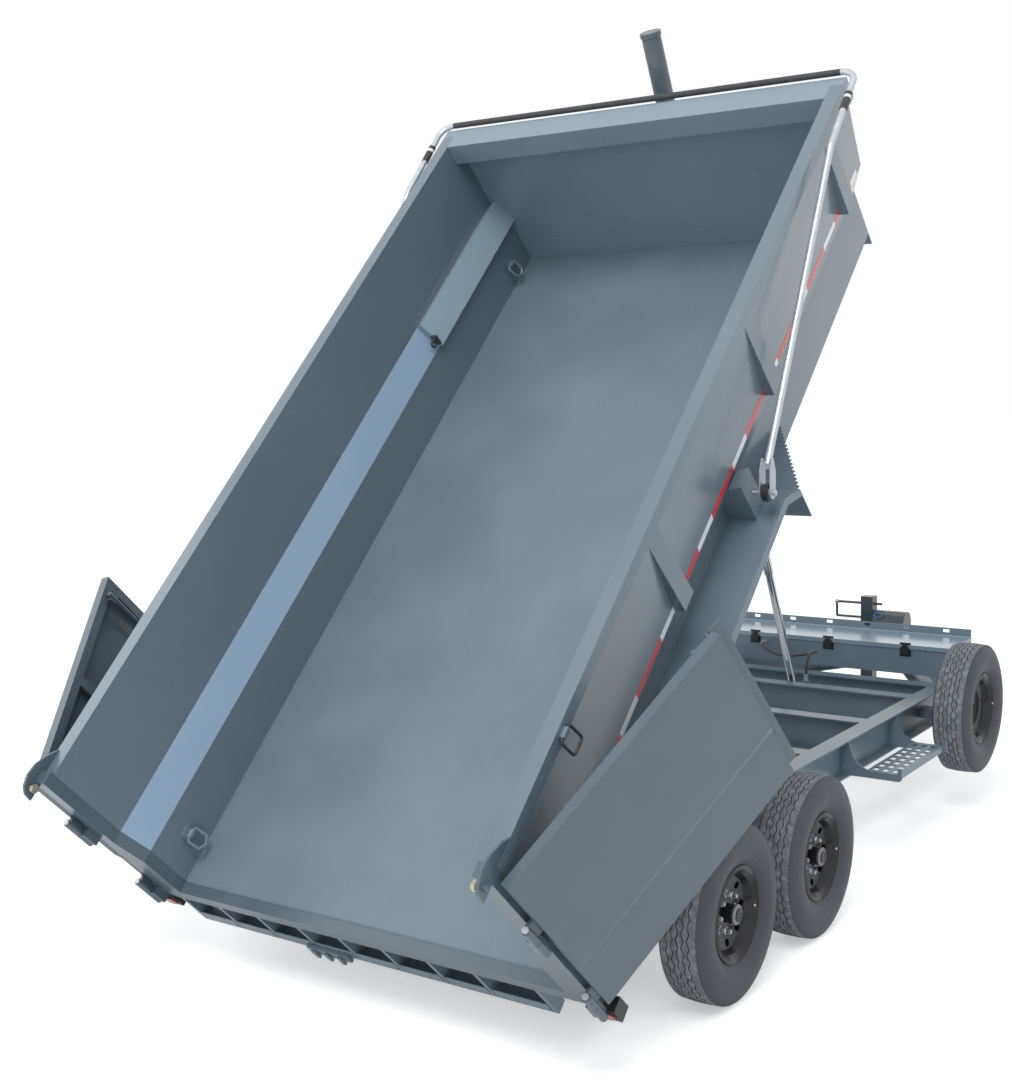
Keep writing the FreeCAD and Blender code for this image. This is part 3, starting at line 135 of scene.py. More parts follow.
def feed(tree: Tree, node: bpy.types.Node, given: dict) -> None:
    """Fill a node's inputs.

    Args:
        tree: the node tree.
        node: the node.
        given: by an input's name or number, the socket linked to it or its value.
    """
    for name, value in given.items():
        if isinstance(value, Socket):
            tree.links.new(value, node.inputs[name])
        else:
            node.inputs[name].default_value = value


def put(tree: Tree, kind: str, given: dict | None = None,
        **settings: object) -> bpy.types.Node:
    """Add a node.

    Args:
        tree: the node tree.
        kind: Blender's name of the node.
        given: its inputs, as in feed.
        **settings: its own properties.

    Returns:
        The node.
    """
    node = tree.nodes.new(kind)
    for name, value in settings.items():
        setattr(node, name, value)
    feed(tree, node, given or {})
    return node


class Relief(Enum):
    """What a finish's bump looks like."""

    ORANGE_PEEL = "orange peel"
    HONEYCOMB = "honeycomb"


@dataclass(frozen=True)
class Finish:
    """A surface finish whose colour, gloss and height vary over the piece."""

    name: str
    colour: Colour
    worn: Colour
    roughness: float
    spread: float = 0.08
    metallic: float = 0.0
    coat: float = 0.0
    grain: float = 90.0
    bump: float = 0.05
    cloud: float = 2.5
    wear: float = 0.25
    scratch: float = 0.0
    relief: Relief = Relief.ORANGE_PEEL

    def material(self) -> bpy.types.Material:
        """Build the finish's nodes once and give the material."""
        found = bpy.data.materials.get(self.name)
        if found is not None:
            return found
        made = bpy.data.materials.new(self.name)
        made.use_nodes = True
        made.diffuse_color = (*self.colour, 1.0)
        self._wire(made.node_tree)
        return made

    def _wire(self, tree: Tree) -> None:
        """Lay out the finish's nodes: clouds of wear, scratches, gloss and bump.

        Args:
            tree: the material's node tree.
        """
        places = put(tree, "ShaderNodeTexCoord").outputs["Object"]
        cloud = self._noise(tree, places, self.cloud, 5.0)
        share = self._ramp(tree, cloud, WEAR_RISE, (0.0, self.wear))
        if self.scratch:
            drawn = put(tree, "ShaderNodeMapping", {"Vector": places, "Rotation": (-TILT, 0, 0),
                                                    "Scale": SCRATCH_STRETCH})
            lines = self._noise(tree, drawn.outputs["Vector"], 26.0, 6.0)
            thin = self._ramp(tree, lines, SCRATCH_RISE, (0.0, self.scratch))
            share = put(tree, "ShaderNodeMath", {0: share, 1: thin},
                        operation="MAXIMUM").outputs[0]
        mix = put(tree, "ShaderNodeMix", {"A": (*self.colour, 1.0), "B": (*self.worn, 1.0),
                                          "Factor": share}, data_type="RGBA")
        gloss = self._ramp(tree, cloud, GLOSS_RISE, (self.roughness - self.spread,
                                                     self.roughness + self.spread))
        if self.relief is Relief.HONEYCOMB:
            height = put(tree, "ShaderNodeTexVoronoi", {"Vector": places, "Scale": self.grain},
                         feature="DISTANCE_TO_EDGE").outputs["Distance"]
        else:
            height = self._noise(tree, places, self.grain, 3.0)
        bump = put(tree, "ShaderNodeBump", {"Strength": self.bump, "Distance": BUMP_DEEP,
                                            "Height": height})
        feed(tree, tree.nodes["Principled BSDF"], {
            "Metallic": self.metallic, "Coat Weight": self.coat, "Coat Roughness": COAT_ROUGHNESS,
            "Base Color": mix.outputs["Result"], "Roughness": gloss,
            "Normal": bump.outputs["Normal"]})

    @staticmethod
    def _noise(tree: Tree, places: Socket, scale: float,
               detail: float) -> Socket:
        """Add a noise over the object.

        Args:
            tree: the material's node tree.
            places: coordinates.
            scale: how fine the noise is, per metre.
            detail: octaves of it.

        Returns:
            The noise's value.
        """
        return put(tree, "ShaderNodeTexNoise", {"Vector": places, "Scale": scale,
                                                "Detail": detail}).outputs["Fac"]

    @staticmethod
    def _ramp(tree: Tree, value: Socket, rise: Spot,
              reach: Spot) -> Socket:
        """Map a range of a value onto another range.

        Args:
            tree: the material's node tree.
            value: what is mapped.
            rise: where the result starts to rise and where it stops.
            reach: the result's lowest and highest value.

        Returns:
            The mapped value.
        """
        return put(tree, "ShaderNodeMapRange", {
            "Value": value, "From Min": rise[0], "From Max": rise[1], "To Min": reach[0],
            "To Max": reach[1]}).outputs["Result"]


PAINT = Finish("slate_paint", (0.128, 0.172, 0.207), (0.185, 0.235, 0.270), 0.36, 0.06,
               coat=0.35, grain=240, bump=0.05, wear=0.35)
BED_PAINT = Finish("bed_paint", (0.135, 0.180, 0.212), (0.205, 0.252, 0.280), 0.42, 0.08,
                   coat=0.18, grain=160, bump=0.06, cloud=2.2, wear=0.34, scratch=0.16)
WALL_PAINT = Finish("wall_paint", (0.122, 0.164, 0.197), (0.160, 0.205, 0.240), 0.26, 0.04,
                    coat=0.60, grain=200, bump=0.03, cloud=1.4, wear=0.30)
TYRE_BLACK = Finish("tyre_rubber", (0.040, 0.047, 0.056), (0.064, 0.073, 0.083), 0.50, 0.06,
                    grain=420, bump=0.15, cloud=14, wear=0.35)
TREAD_DUST = Finish("tread_dust", (0.140, 0.150, 0.162), (0.310, 0.320, 0.332), 0.90, 0.05,
                    grain=380, bump=0.30, cloud=38, wear=0.7)
# Painted shade: the grooves' rubber is darker than the tyre's to stand in for the shade inside
# them.
GROOVE_SHADE = Finish("groove_painted_shade", (0.020, 0.021, 0.022), (0.040, 0.041, 0.042), 0.90, 0.04,
                      grain=400, bump=0.20, cloud=9)
RIM_BLACK = Finish("rim_black", (0.025, 0.032, 0.039), (0.057, 0.067, 0.077), 0.22, 0.06,
                   coat=0.6, grain=300, bump=0.05, cloud=8)
CHROME = Finish("rod_chrome", (0.52, 0.52, 0.51), (0.44, 0.44, 0.43), 0.22, 0.06, metallic=1.0,
                grain=500, bump=0.02, cloud=6)
ZINC = Finish("zinc_plate", (0.50, 0.53, 0.56), (0.60, 0.63, 0.66), 0.42, 0.06, metallic=0.65,
              grain=220, bump=0.04, cloud=18, wear=0.6)
CYLINDER_PAINT = Finish("cylinder_paint", (0.078, 0.098, 0.114), (0.150, 0.172, 0.186), 0.42,
                        0.10, coat=0.2, grain=110, bump=0.10, cloud=7, wear=0.5)
RUBBER = Finish("hose_rubber", (0.014, 0.014, 0.015), (0.030, 0.030, 0.031), 0.55, 0.10,
                grain=350, bump=0.15, cloud=12)
DARK_PLASTIC = Finish("dark_plastic", (0.02, 0.021, 0.022), (0.05, 0.05, 0.052), 0.35, 0.08,
                      grain=500, bump=0.10, cloud=10)
TAPE_RED = Finish("tape_red", (0.62, 0.02, 0.025), (0.50, 0.03, 0.03), 0.22, 0.05, coat=0.5,
                  grain=260, bump=0.12, cloud=30, relief=Relief.HONEYCOMB)
TAPE_WHITE = Finish("tape_white", (0.78, 0.80, 0.82), (0.62, 0.65, 0.68), 0.22, 0.05, coat=0.5,
                    grain=260, bump=0.12, cloud=30, relief=Relief.HONEYCOMB)
# Painted sheen: the facets' paint is lighter than the walls' to stand in for the sky's reflection
# on these upward faces.
FACET_SHEEN_PAINT = Finish("facet_painted_sheen", (0.245, 0.358, 0.482), (0.275, 0.388, 0.505), 0.34, 0.05,
                     coat=0.4, grain=200, bump=0.03, cloud=1.8, wear=0.5)
# Painted sheen: the ledge cover's paint is lighter than the body's, like the facets', to stand in
# for the sky's reflection.
LEDGE_SHEEN_PAINT = Finish("ledge_painted_sheen", (0.250, 0.345, 0.405), (0.280, 0.375, 0.435), 0.34, 0.05,
                     coat=0.4, grain=200, bump=0.03, cloud=1.8, wear=0.5)
# Painted shade: the body's paint darkened for the doors and rear frame, which stand in less light.
DOOR_SHADE_PAINT = Finish("door_painted_shade", (0.074, 0.103, 0.127), (0.108, 0.142, 0.168), 0.36, 0.06,
                    coat=0.35, grain=240, bump=0.05, wear=0.35)
# Painted light: the walls' paint lightened for the headboard and toolbox to make up for the shade
# that falls on them.
HEAD_LIT_PAINT = Finish("head_painted_light", (0.180, 0.240, 0.288), (0.222, 0.283, 0.328), 0.28, 0.04,
                    coat=0.55, grain=200, bump=0.03, cloud=1.4, wear=0.30)
HUB_GREY = Finish("hub_grey", (0.20, 0.215, 0.23), (0.30, 0.315, 0.33), 0.40, 0.06, metallic=0.7,
                  grain=260, bump=0.04, cloud=30, wear=0.5)
DARK_PAINT = Finish("dark_paint", (0.036, 0.048, 0.059), (0.070, 0.086, 0.098), 0.30, 0.06,
                    coat=0.5, grain=240, bump=0.04, wear=0.30)
BAR_BLACK = Finish("bar_black", (0.030, 0.033, 0.036), (0.075, 0.080, 0.085), 0.50, 0.08,
                   grain=200, bump=0.06, cloud=12, wear=0.4)
LID_PAINT = Finish("lid_paint", (0.245, 0.330, 0.398), (0.300, 0.388, 0.455), 0.20, 0.04,
                   coat=0.8, grain=220, bump=0.03, cloud=2.0)
YELLOW_ZINC = Finish("yellow_zinc", (0.52, 0.45, 0.30), (0.66, 0.62, 0.50), 0.32, 0.08,
                     metallic=0.9, grain=200, bump=0.06, cloud=40, wear=0.7)
SAFETY_BLUE = Finish("safety_blue", (0.02, 0.20, 0.52), (0.05, 0.28, 0.60), 0.35, 0.06, coat=0.3,
                     grain=300, bump=0.04, cloud=20)
SLEEVE_WHITE = Finish("sleeve_white", (0.70, 0.71, 0.71), (0.55, 0.56, 0.56), 0.45, 0.06,
                      grain=300, bump=0.05, cloud=30)
LENS_RED = Finish("lens_red", (0.35, 0.006, 0.008), (0.22, 0.004, 0.006), 0.12, 0.03, coat=0.8,
                  grain=180, bump=0.30, cloud=20, relief=Relief.HONEYCOMB)

SLOT_FINISH = {
    "body_paint": PAINT, "tyre": TYRE_BLACK, "rim_black": RIM_BLACK, "rod_chrome": CHROME,
    "zinc": ZINC, "lamp_plastic": DARK_PLASTIC, "hose_rubber": RUBBER,
}
NODE_FINISH = {
    "bed_floor": BED_PAINT, "left_wall": WALL_PAINT, "right_wall": WALL_PAINT,
    # The headboard and toolbox get a lightened paint as painted light.
    "headboard": HEAD_LIT_PAINT, "toolbox": HEAD_LIT_PAINT, "toolbox_lid": LID_PAINT,
    # The ledge cover gets a lighter paint as painted sheen.
    "cylinder_cover": CYLINDER_PAINT, "ledge_cover": LEDGE_SHEEN_PAINT, "left_door": DOOR_SHADE_PAINT,
    # The doors and rear frame get a darkened paint as painted shade.
    "right_door": DOOR_SHADE_PAINT, "rear_frame": DOOR_SHADE_PAINT, "jack_post": DARK_PAINT,
    "jack_crank": DARK_PAINT, "pump_cover": DARK_PAINT,
}
SOFT_EDGES = ("frame_rails", "frame_crossmembers", "tongue_beams", "left_wall", "right_wall",
              "headboard", "rear_frame", "left_door", "right_door", "toolbox", "toolbox_lid",
              "left_fender", "right_fender", "ledge_cover", "ramp_rack", "side_step",
              "jack_plate", "jack_post", "pump_cover", "cylinder_brackets", "tail_lamps",
              "hinge_brackets", "cylinder_foot", "coupler_channel", "step_plates")
SOFT_EDGE_WIDE = 0.0015
BRACKET_OUT = 1.2005
HOUSING_OUT = (1.215, 1.275)
HOUSING_EYE = 0.014
BOW_HALF = 1.150
BOW_AHEAD = 4.2


class Form:
    """A mesh that grows by simple solids and becomes one piece."""

    def __init__(self) -> None:
        """Start with nothing."""
        self.points: list[Vector] = []
        self.faces: list[list[int]] = []

    def add(self, points: Sequence[Spot], faces: Sequence[Sequence[int]],
            place: Matrix | None = None) -> None:
        """Add loose points and faces.

        Args:
            points: corners of the new faces.
            faces: lists of indices into points, outwards anticlockwise.
            place: where the points are moved first.
        """
        start = len(self.points)
        move = place or Matrix.Identity(4)
        self.points.extend(move @ Vector(point) for point in points)
        self.faces.extend([index + start for index in face] for face in faces)

    def block(self, low: Spot, high: Spot, place: Matrix | None = None) -> None:
        """Add a box.

        Args:
            low: its lowest corner.
            high: its highest corner.
            place: where it is moved.
        """
        corners = [(x, y, z) for z in (low[2], high[2]) for y in (low[1], high[1])
                   for x in (low[0], high[0])]
        sides = [(0, 2, 3, 1), (4, 5, 7, 6), (0, 1, 5, 4), (2, 6, 7, 3), (0, 4, 6, 2),
                 (1, 3, 7, 5)]
        self.add(corners, sides, place)

    def prism(self, outline: Sequence[Spot], low: float, high: float,
              place: Matrix | None = None) -> None:
        """Add an outline in the XY plane grown along Z.

        Args:
            outline: pairs, anticlockwise.
            low: height of its bottom.
            high: height of its top.
            place: where it is moved.
        """
        count = len(outline)
        points = [(x, y, low) for x, y in outline] + [(x, y, high) for x, y in outline]
        faces = [list(range(count))[::-1], list(range(count, 2 * count))]
        faces += [[i, (i + 1) % count, (i + 1) % count + count, i + count] for i in range(count)]
        self.add(points, faces, place)

    def skin(self, points: Sequence[Spot], sides: int, flip: bool = False, loop: bool = False,
             place: Matrix | None = None) -> None:
        """Cover rings of points that follow one another.

        Args:
            points: all the rings' points.
            sides: how many make one ring.
            flip: whether the rings turn the other way.
            loop: whether the last ring meets the first; the ends are closed if not.
            place: where it is moved.
        """
        count = len(points) // sides
        faces = []
        for i in range(count if loop else count - 1):
            low, high = i * sides, ((i + 1) % count) * sides
            for k in range(sides):
                turn = (k + 1) % sides
                face = [low + k, low + turn, high + turn, high + k]
                faces.append(face[::-1] if flip else face)
        if not loop:
            faces.append(list(range(sides))[::-1])
            faces.append(list(range((count - 1) * sides, count * sides)))
        self.add(points, faces, place)

    def lathe(self, profile: Sequence[Spot], steps: int = 32,
              place: Matrix | None = None) -> None:
        """Add a profile turned about the X axis, closed at both ends.

        Args:
            profile: pairs of distance along X and radius, from low X to high X.
            steps: number of sides.
            place: where it is moved.
        """
        points = [(x, y, z) for x, radius in profile for y, z in polygon(radius, steps)]
        self.skin(points, steps, flip=True, place=place)

    def tube(self, path: Sequence[Spot], radius: float, sides: int = 16,
             loop: bool = False, place: Matrix | None = None) -> None:
        """Add a round bar along a path.

        Args:
            path: points along its middle.
            radius: its radius.
            sides: number of sides.
            loop: whether its end meets its start.
            place: where it is moved.
        """
        spots = [Vector(spot) for spot in path]
        count = len(spots)
        points = []
        side = None
        for i, spot in enumerate(spots):
            before = spots[i - 1] if i or loop else spot
            after = spots[(i + 1) % count] if i + 1 < count or loop else spot
            forward = (after - before).normalized()
            if side is None:
                side = forward.orthogonal().normalized()
            side = (side - forward * side.dot(forward)).normalized()
            other = forward.cross(side)
            points += [spot + side * x + other * y for x, y in polygon(radius, sides)]
        self.skin(points, sides, loop=loop, place=place)

    def mesh(self, name: str, place: Matrix | None = None,
             smooth: float = SMOOTH_TO) -> bpy.types.Mesh:
        """Turn the form into a mesh.

        Args:
            name: the mesh's name.
            place: where the whole form is moved.
            smooth: edges up to this many degrees are shaded smooth.

        Returns:
            The mesh.
        """
        move = place or Matrix.Identity(4)
        made = bpy.data.meshes.new(name)
        made.from_pydata([move @ point for point in self.points], [], self.faces)
        made.validate()
        made.shade_smooth()
        made.set_sharp_from_angle(angle=math.radians(smooth))
        return made


def show(name: str, data: bpy.types.ID) -> bpy.types.Object:
    """Put a mesh, curve, lamp or camera into the scene.

    Args:
        name: the object's name.
        data: what it shows.

    Returns:
        The object.
    """
    made = bpy.data.objects.new(name, data)
    bpy.context.scene.collection.objects.link(made)
    return made


def soften(piece: bpy.types.Object, width: float, segments: int) -> None:
    """Round a piece's sharp edges.

    Args:
        piece: the piece.
        width: width of the rounding.
        segments: how many strips it has.
    """
    rounding = piece.modifiers.new("edges", "BEVEL")
    rounding.width = width
    rounding.segments = segments
    rounding.limit_method = "ANGLE"
    rounding.harden_normals = True


def seat(name: str, form: Form, finish: Finish, body: str,
         place: Matrix | None = None, replaces: Sequence[str] = (), bevel: float = 0.0,
         smooth: float = SMOOTH_TO) -> bpy.types.Object:
    """Make a piece of a form, dress it and let it ride on its body.

    Args:
        name: the piece's name.
        form: its form.
        finish: its finish.
        body: the body that it moves with.
        place: where the form is moved.
        replaces: CAD nodes that it stands for.
        bevel: width of its edges' rounding.
        smooth: edges up to this many degrees are shaded smooth.

    Returns:
        The piece.
    """
    piece = show(name, form.mesh(name, place, smooth))
    piece.data.materials.append(finish.material())
    if bevel:
        soften(piece, bevel, 2)
    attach(piece, body)
    if replaces:
        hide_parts(*replaces)
    LOG.info("%s rides on %s", name, body)
    return piece


class Grower:
    """Geometry Nodes that set copies of a small master in rows, rings and along paths."""

    def __init__(self) -> None:
        """Build the three trees."""
        self.row = self._row_tree()
        self.ring = self._ring_tree()
        self.path = self._path_tree()

    @staticmethod
    def _tree(name: str, **inputs: str) -> Tree:
        """Start a tree with its named inputs.

        Args:
            name: the tree's name.
            **inputs: what kind of socket each further input is.

        Returns:
            The tree, with its group nodes in place.
        """
        tree = bpy.data.node_groups.new(name, "GeometryNodeTree")
        tree.interface.new_socket("Geometry", in_out="OUTPUT", socket_type="NodeSocketGeometry")
        for label, kind in {"Master": "Object", "Finish": "Material", **inputs}.items():
            tree.interface.new_socket(label, in_out="INPUT", socket_type="NodeSocket" + kind)
        put(tree, "NodeGroupInput")
        put(tree, "NodeGroupOutput")
        return tree

    @staticmethod
    def _end(tree: Tree, **spread: Socket) -> Tree:
        """Set the master on points, make it real and give it its finish.

        Args:
            tree: the tree.
            **spread: where the copies stand and, if they turn, their rotation.

        Returns:
            The whole tree.
        """
        source = tree.nodes["Group Input"].outputs
        info = put(tree, "GeometryNodeObjectInfo", {"Object": source["Master"]})
        copies = put(tree, "GeometryNodeInstanceOnPoints",
                     {"Instance": info.outputs["Geometry"], **spread})
        real = put(tree, "GeometryNodeRealizeInstances", {"Geometry": copies.outputs["Instances"]})
        dress = put(tree, "GeometryNodeSetMaterial", {"Geometry": real.outputs["Geometry"],
                                                      "Material": source["Finish"]})
        feed(tree, tree.nodes["Group Output"], {"Geometry": dress.outputs["Geometry"]})
        return tree

    def _row_tree(self) -> Tree:
        """Build the tree that sets copies in a straight row."""
        tree = self._tree("row_of_copies", Count="Int", Start="Vector", Step="Vector")
        source = tree.nodes["Group Input"].outputs
        line = put(tree, "GeometryNodeMeshLine",
                   {"Count": source["Count"], "Start Location": source["Start"],
                    "Offset": source["Step"]}, mode="OFFSET")
        return self._end(tree, Points=line.outputs["Mesh"])

    def _ring_tree(self) -> Tree:
        """Build the tree that sets copies round a circle in the XY plane."""
        tree = self._tree("ring_of_copies", Count="Int", Radius="Float")
        source = tree.nodes["Group Input"].outputs
        circle = put(tree, "GeometryNodeMeshCircle",
                     {"Vertices": source["Count"], "Radius": source["Radius"]})
        index = put(tree, "GeometryNodeInputIndex").outputs["Index"]
        share = put(tree, "ShaderNodeMath", {0: index, 1: source["Count"]}, operation="DIVIDE")
        angle = put(tree, "ShaderNodeMath", {0: share.outputs[0], 1: 2 * math.pi},
                    operation="MULTIPLY")
        turn = put(tree, "ShaderNodeCombineXYZ", {"Z": angle.outputs[0]})
        return self._end(tree, Points=circle.outputs["Mesh"], Rotation=turn.outputs["Vector"])

    def _path_tree(self) -> Tree:
        """Build the tree that strings copies along a path, each rolled from the last."""
        tree = self._tree("copies_along_path", Path="Object", Spacing="Float", Roll="Float")
        source = tree.nodes["Group Input"].outputs
        info = put(tree, "GeometryNodeObjectInfo", {"Object": source["Path"]})
        points = put(tree, "GeometryNodeCurveToPoints",
                     {"Curve": info.outputs["Geometry"], "Length": source["Spacing"]},
                     mode="LENGTH")
        index = put(tree, "GeometryNodeInputIndex").outputs["Index"]
        roll = put(tree, "ShaderNodeMath", {0: index, 1: source["Roll"]}, operation="MULTIPLY")
        lean = put(tree, "ShaderNodeCombineXYZ", {"Z": roll.outputs[0]})
        turn = put(tree, "FunctionNodeRotateRotation",
                   {"Rotation": points.outputs["Rotation"], "Rotate By": lean.outputs["Vector"]},
                   rotation_space="LOCAL")
        return self._end(tree, Points=points.outputs["Points"], Rotation=turn.outputs["Rotation"])

    def grow(self, tree: Tree, master: Form, finish: Finish,
             places: Sequence[Matrix], **inputs: object) -> Form:
        """Run a tree once and lay its result at each place, as one form.

        Args:
            tree: which of the three trees.
            master: the shape that is copied.
            finish: the copies' finish.
            places: where the whole row, ring or path is laid.
            **inputs: the tree's other inputs by name.

        Returns:
            The joined form.
        """
        shape = show("master", master.mesh("master"))
        host = show("host", bpy.data.meshes.new("host"))
        nodes = host.modifiers.new("grow", "NODES")
        nodes.node_group = tree
        given = {"Master": shape, "Finish": finish.material(), **inputs}
        for item in tree.interface.items_tree:
            if item.in_out == "INPUT":
                nodes[item.identifier] = given[item.name]
        graph = bpy.context.evaluated_depsgraph_get()
        grown = bpy.data.meshes.new_from_object(host.evaluated_get(graph))
        joined = Form()
        for place in places:
            joined.add([vertex.co for vertex in grown.vertices],
                       [list(face.vertices) for face in grown.polygons], place)
        bpy.data.objects.remove(host)
        bpy.data.objects.remove(shape)
        return joined

    @staticmethod
    def curve(points: Sequence[Spot]) -> bpy.types.Object:
        """Make a curve object to string copies along.

        Args:
            points: its control points.

        Returns:
            The curve, which the caller removes.
        """
        data = bpy.data.curves.new("path", "CURVE")
        data.dimensions = "3D"
        spline = data.splines.new("NURBS")
        spline.points.add(len(points) - 1)
        for held, point in zip(spline.points, points):
            held.co = (*point, 1.0)
        spline.order_u = 3
        spline.use_endpoint_u = True
        return show("path", data)


def arc_path(points: Sequence[Spot], bend: float, steps: int = 6) -> list[Vector]:
    """Round the corners of a bent steel bar's middle line.

    Args:
        points: the corners.
        bend: radius of the bends.
        steps: pieces of each bend.

    Returns:
        The rounded line.
    """
    spots = [Vector(point) for point in points]
    path = [spots[0]]
    for before, corner, after in zip(spots, spots[1:], spots[2:]):
        into = (before - corner).normalized()
        out = (after - corner).normalized()
        half = into.angle(out) / 2
        back = bend / math.tan(half)
        centre = corner + (into + out).normalized() * (bend / math.sin(half))
        start, end = corner + into * back - centre, corner + out * back - centre
        total = start.angle(end)
        for step in range(steps + 1):
            share = step / steps
            spot = (start * math.sin((1 - share) * total) + end * math.sin(share * total))
            path.append(centre + spot / math.sin(total))
    path.append(spots[-1])
    return path


@dataclass
class Tyre:
    """A radial trailer tyre with zigzag grooves, notched shoulders and plain sidewalls."""

    name: str
    body: str
    place: Matrix
    radius: float = TYRE_RADIUS
    edge: float = 0.083
    crown: float = 0.0045
    steps: int = 480
    zig_steps: int = 12
    zig: float = 0.0058
    floor_radius: float = 0.3765
    notch: float = 0.0045
    groove_pitch: float = 0.0250
    groove_wide: float = 0.0044
    groove_deep: float = 0.0080
    groove_lean: float = 0.0008
    land: float = 0.074
    shoulder: float = 0.3650
    side: tuple = ((0.0725, 0.1945), (0.0765, 0.2035), (0.0800, 0.2130), (0.0870, 0.2215),
                   (0.0905, 0.2240), (0.0925, 0.2285), (0.0975, 0.2380), (0.0995, 0.2395),
                   (0.1010, 0.2440), (0.1075, 0.2600), (0.1118, 0.2790), (0.1129, 0.2980),
                   (0.1118, 0.3160), (0.1092, 0.3300), (0.1088, 0.3320), (0.1062, 0.3400),
                   (0.1025, 0.3510), (0.0985, 0.3620), (0.0945, 0.3720), (0.0905, 0.3790),
                   (0.0870, 0.3838))

    def column(self, step: int) -> list[tuple[float, float]]:
        """Give one cross section, from the inner bead over the tread to the outer bead.

        Args:
            step: which step round the tyre.

        Returns:
            Pairs of distance from the tyre's middle plane and radius.
        """
        phase = (step % self.zig_steps) / self.zig_steps
        wave = self.zig * (abs(phase * 2 - 1) * 2 - 1)
        cut = self.notch if step % (self.zig_steps // 2) == 0 else 0.0
        half = self.groove_wide / 2
        tread = []
        for index in range(-2, 3):
            lean = 1 if index % 2 else -1
            middle = index * self.groove_pitch + lean * wave
            for offset, fall in ((-half, 0.0), (-half + self.groove_lean, self.groove_deep),
                                 (half - self.groove_lean, self.groove_deep), (half, 0.0)):
                x = middle + offset
                tread.append((x, self.top(x) - fall))
        outer = [(self.land, self.top(self.land)), (self.edge, self.top(self.edge) - cut)]
        outer += [(x, radius - (cut if radius > self.shoulder else 0.0))
                  for x, radius in reversed(self.side)]
        inner = [(-x, radius) for x, radius in reversed(outer)]
        return inner + tread + outer

    def top(self, x: float) -> float:
        """Give the tread's radius at a distance from the middle plane."""
        return self.radius - self.crown * (x / self.edge) ** 2

    def build(self) -> None:
        """Make the tyre and let it stand for its CAD node."""
        points = []
        for step in range(self.steps):
            angle = 2 * math.pi * step / self.steps
            points += [(x, radius * math.cos(angle), radius * math.sin(angle))
                       for x, radius in self.column(step)]
        form = Form()
        form.skin(points, len(self.column(0)), loop=True)
        piece = seat(self.name + "_tread", form, TYRE_BLACK, self.body, self.place,
                     replaces=(self.name,), smooth=40)
        self._paint(piece.data)

    def _paint(self, mesh: bpy.types.Mesh) -> None:
        """Give the tread's tops their dust and its grooves a darker rubber as painted shade.

        Args:
            mesh: the tyre's mesh.
        """
        mesh.materials.append(TREAD_DUST.material())
        # The grooves get the darker rubber as painted shade.
        mesh.materials.append(GROOVE_SHADE.material())
        back = self.place.inverted()
        for face in mesh.polygons:
            x, y, z = back @ face.center
            if abs(x) > self.edge - 0.002:
                continue
            radius = math.hypot(y, z)
            if radius > self.top(x) - 0.0015:
                face.material_index = 1
            elif radius > self.floor_radius:
                face.material_index = 2


@dataclass
class Wheel:
    """Nuts, hub cap and valve of one wheel."""

    name: str
    body: str
    place: Matrix
    grower: Grower
    with_hub: bool = True
    nut_circle: float = 0.0825
    nut_count: int = 8
    face: float = 0.028

    @staticmethod
    def nut() -> Form:
        """Give a domed wheel nut on its washer, standing along Z."""
        form = Form()
        form.prism(polygon(0.0165, 20), -0.001, 0.003)
        form.prism(polygon(0.0125, 6), 0.003, 0.019)
        form.prism(polygon(0.0095, 12), 0.019, 0.026)
        return form

    def build(self) -> None:
        """Make the wheel's fine parts."""
        if self.with_hub:
            ring = (self.place @ Matrix.Translation((self.face, 0, 0))
                    @ Matrix.Rotation(math.pi / 2, 4, "Y"))
            nuts = self.grower.grow(self.grower.ring, self.nut(), ZINC, [ring],
                                    Count=self.nut_count, Radius=self.nut_circle)
            seat(self.name + "_nuts", nuts, ZINC, self.body)
            cap = Form()
            cap.lathe([(0.074, 0.030), (0.0745, 0.0435), (0.078, 0.0455), (0.0845, 0.0450),
                       (0.089, 0.0400), (0.0905, 0.0330), (0.0905, 0.030)], 40)
            seat(self.name + "_hub_ring", cap, HUB_GREY, self.body, self.place)
            plug = Form()
            plug.lathe([(0.086, 0.030), (0.0925, 0.0300), (0.0960, 0.0265), (0.0968, 0.0160),
                        (0.0945, 0.0140), (0.0945, 0.004)], 32)
            seat(self.name + "_hub_plug", plug, DARK_PLASTIC, self.body,
                 self.place)
        valve = Form()
        valve.tube(arc_path([(0.055, 0.150, 0.01), (0.074, 0.147, 0.01), (0.100, 0.128, 0.01)],
                            0.012, 4), 0.0038, 10)
        valve.tube([(0.096, 0.1312, 0.01), (0.108, 0.1218, 0.01)], 0.0055, 10)
        seat(self.name + "_valve", valve, YELLOW_ZINC, self.body, self.place)


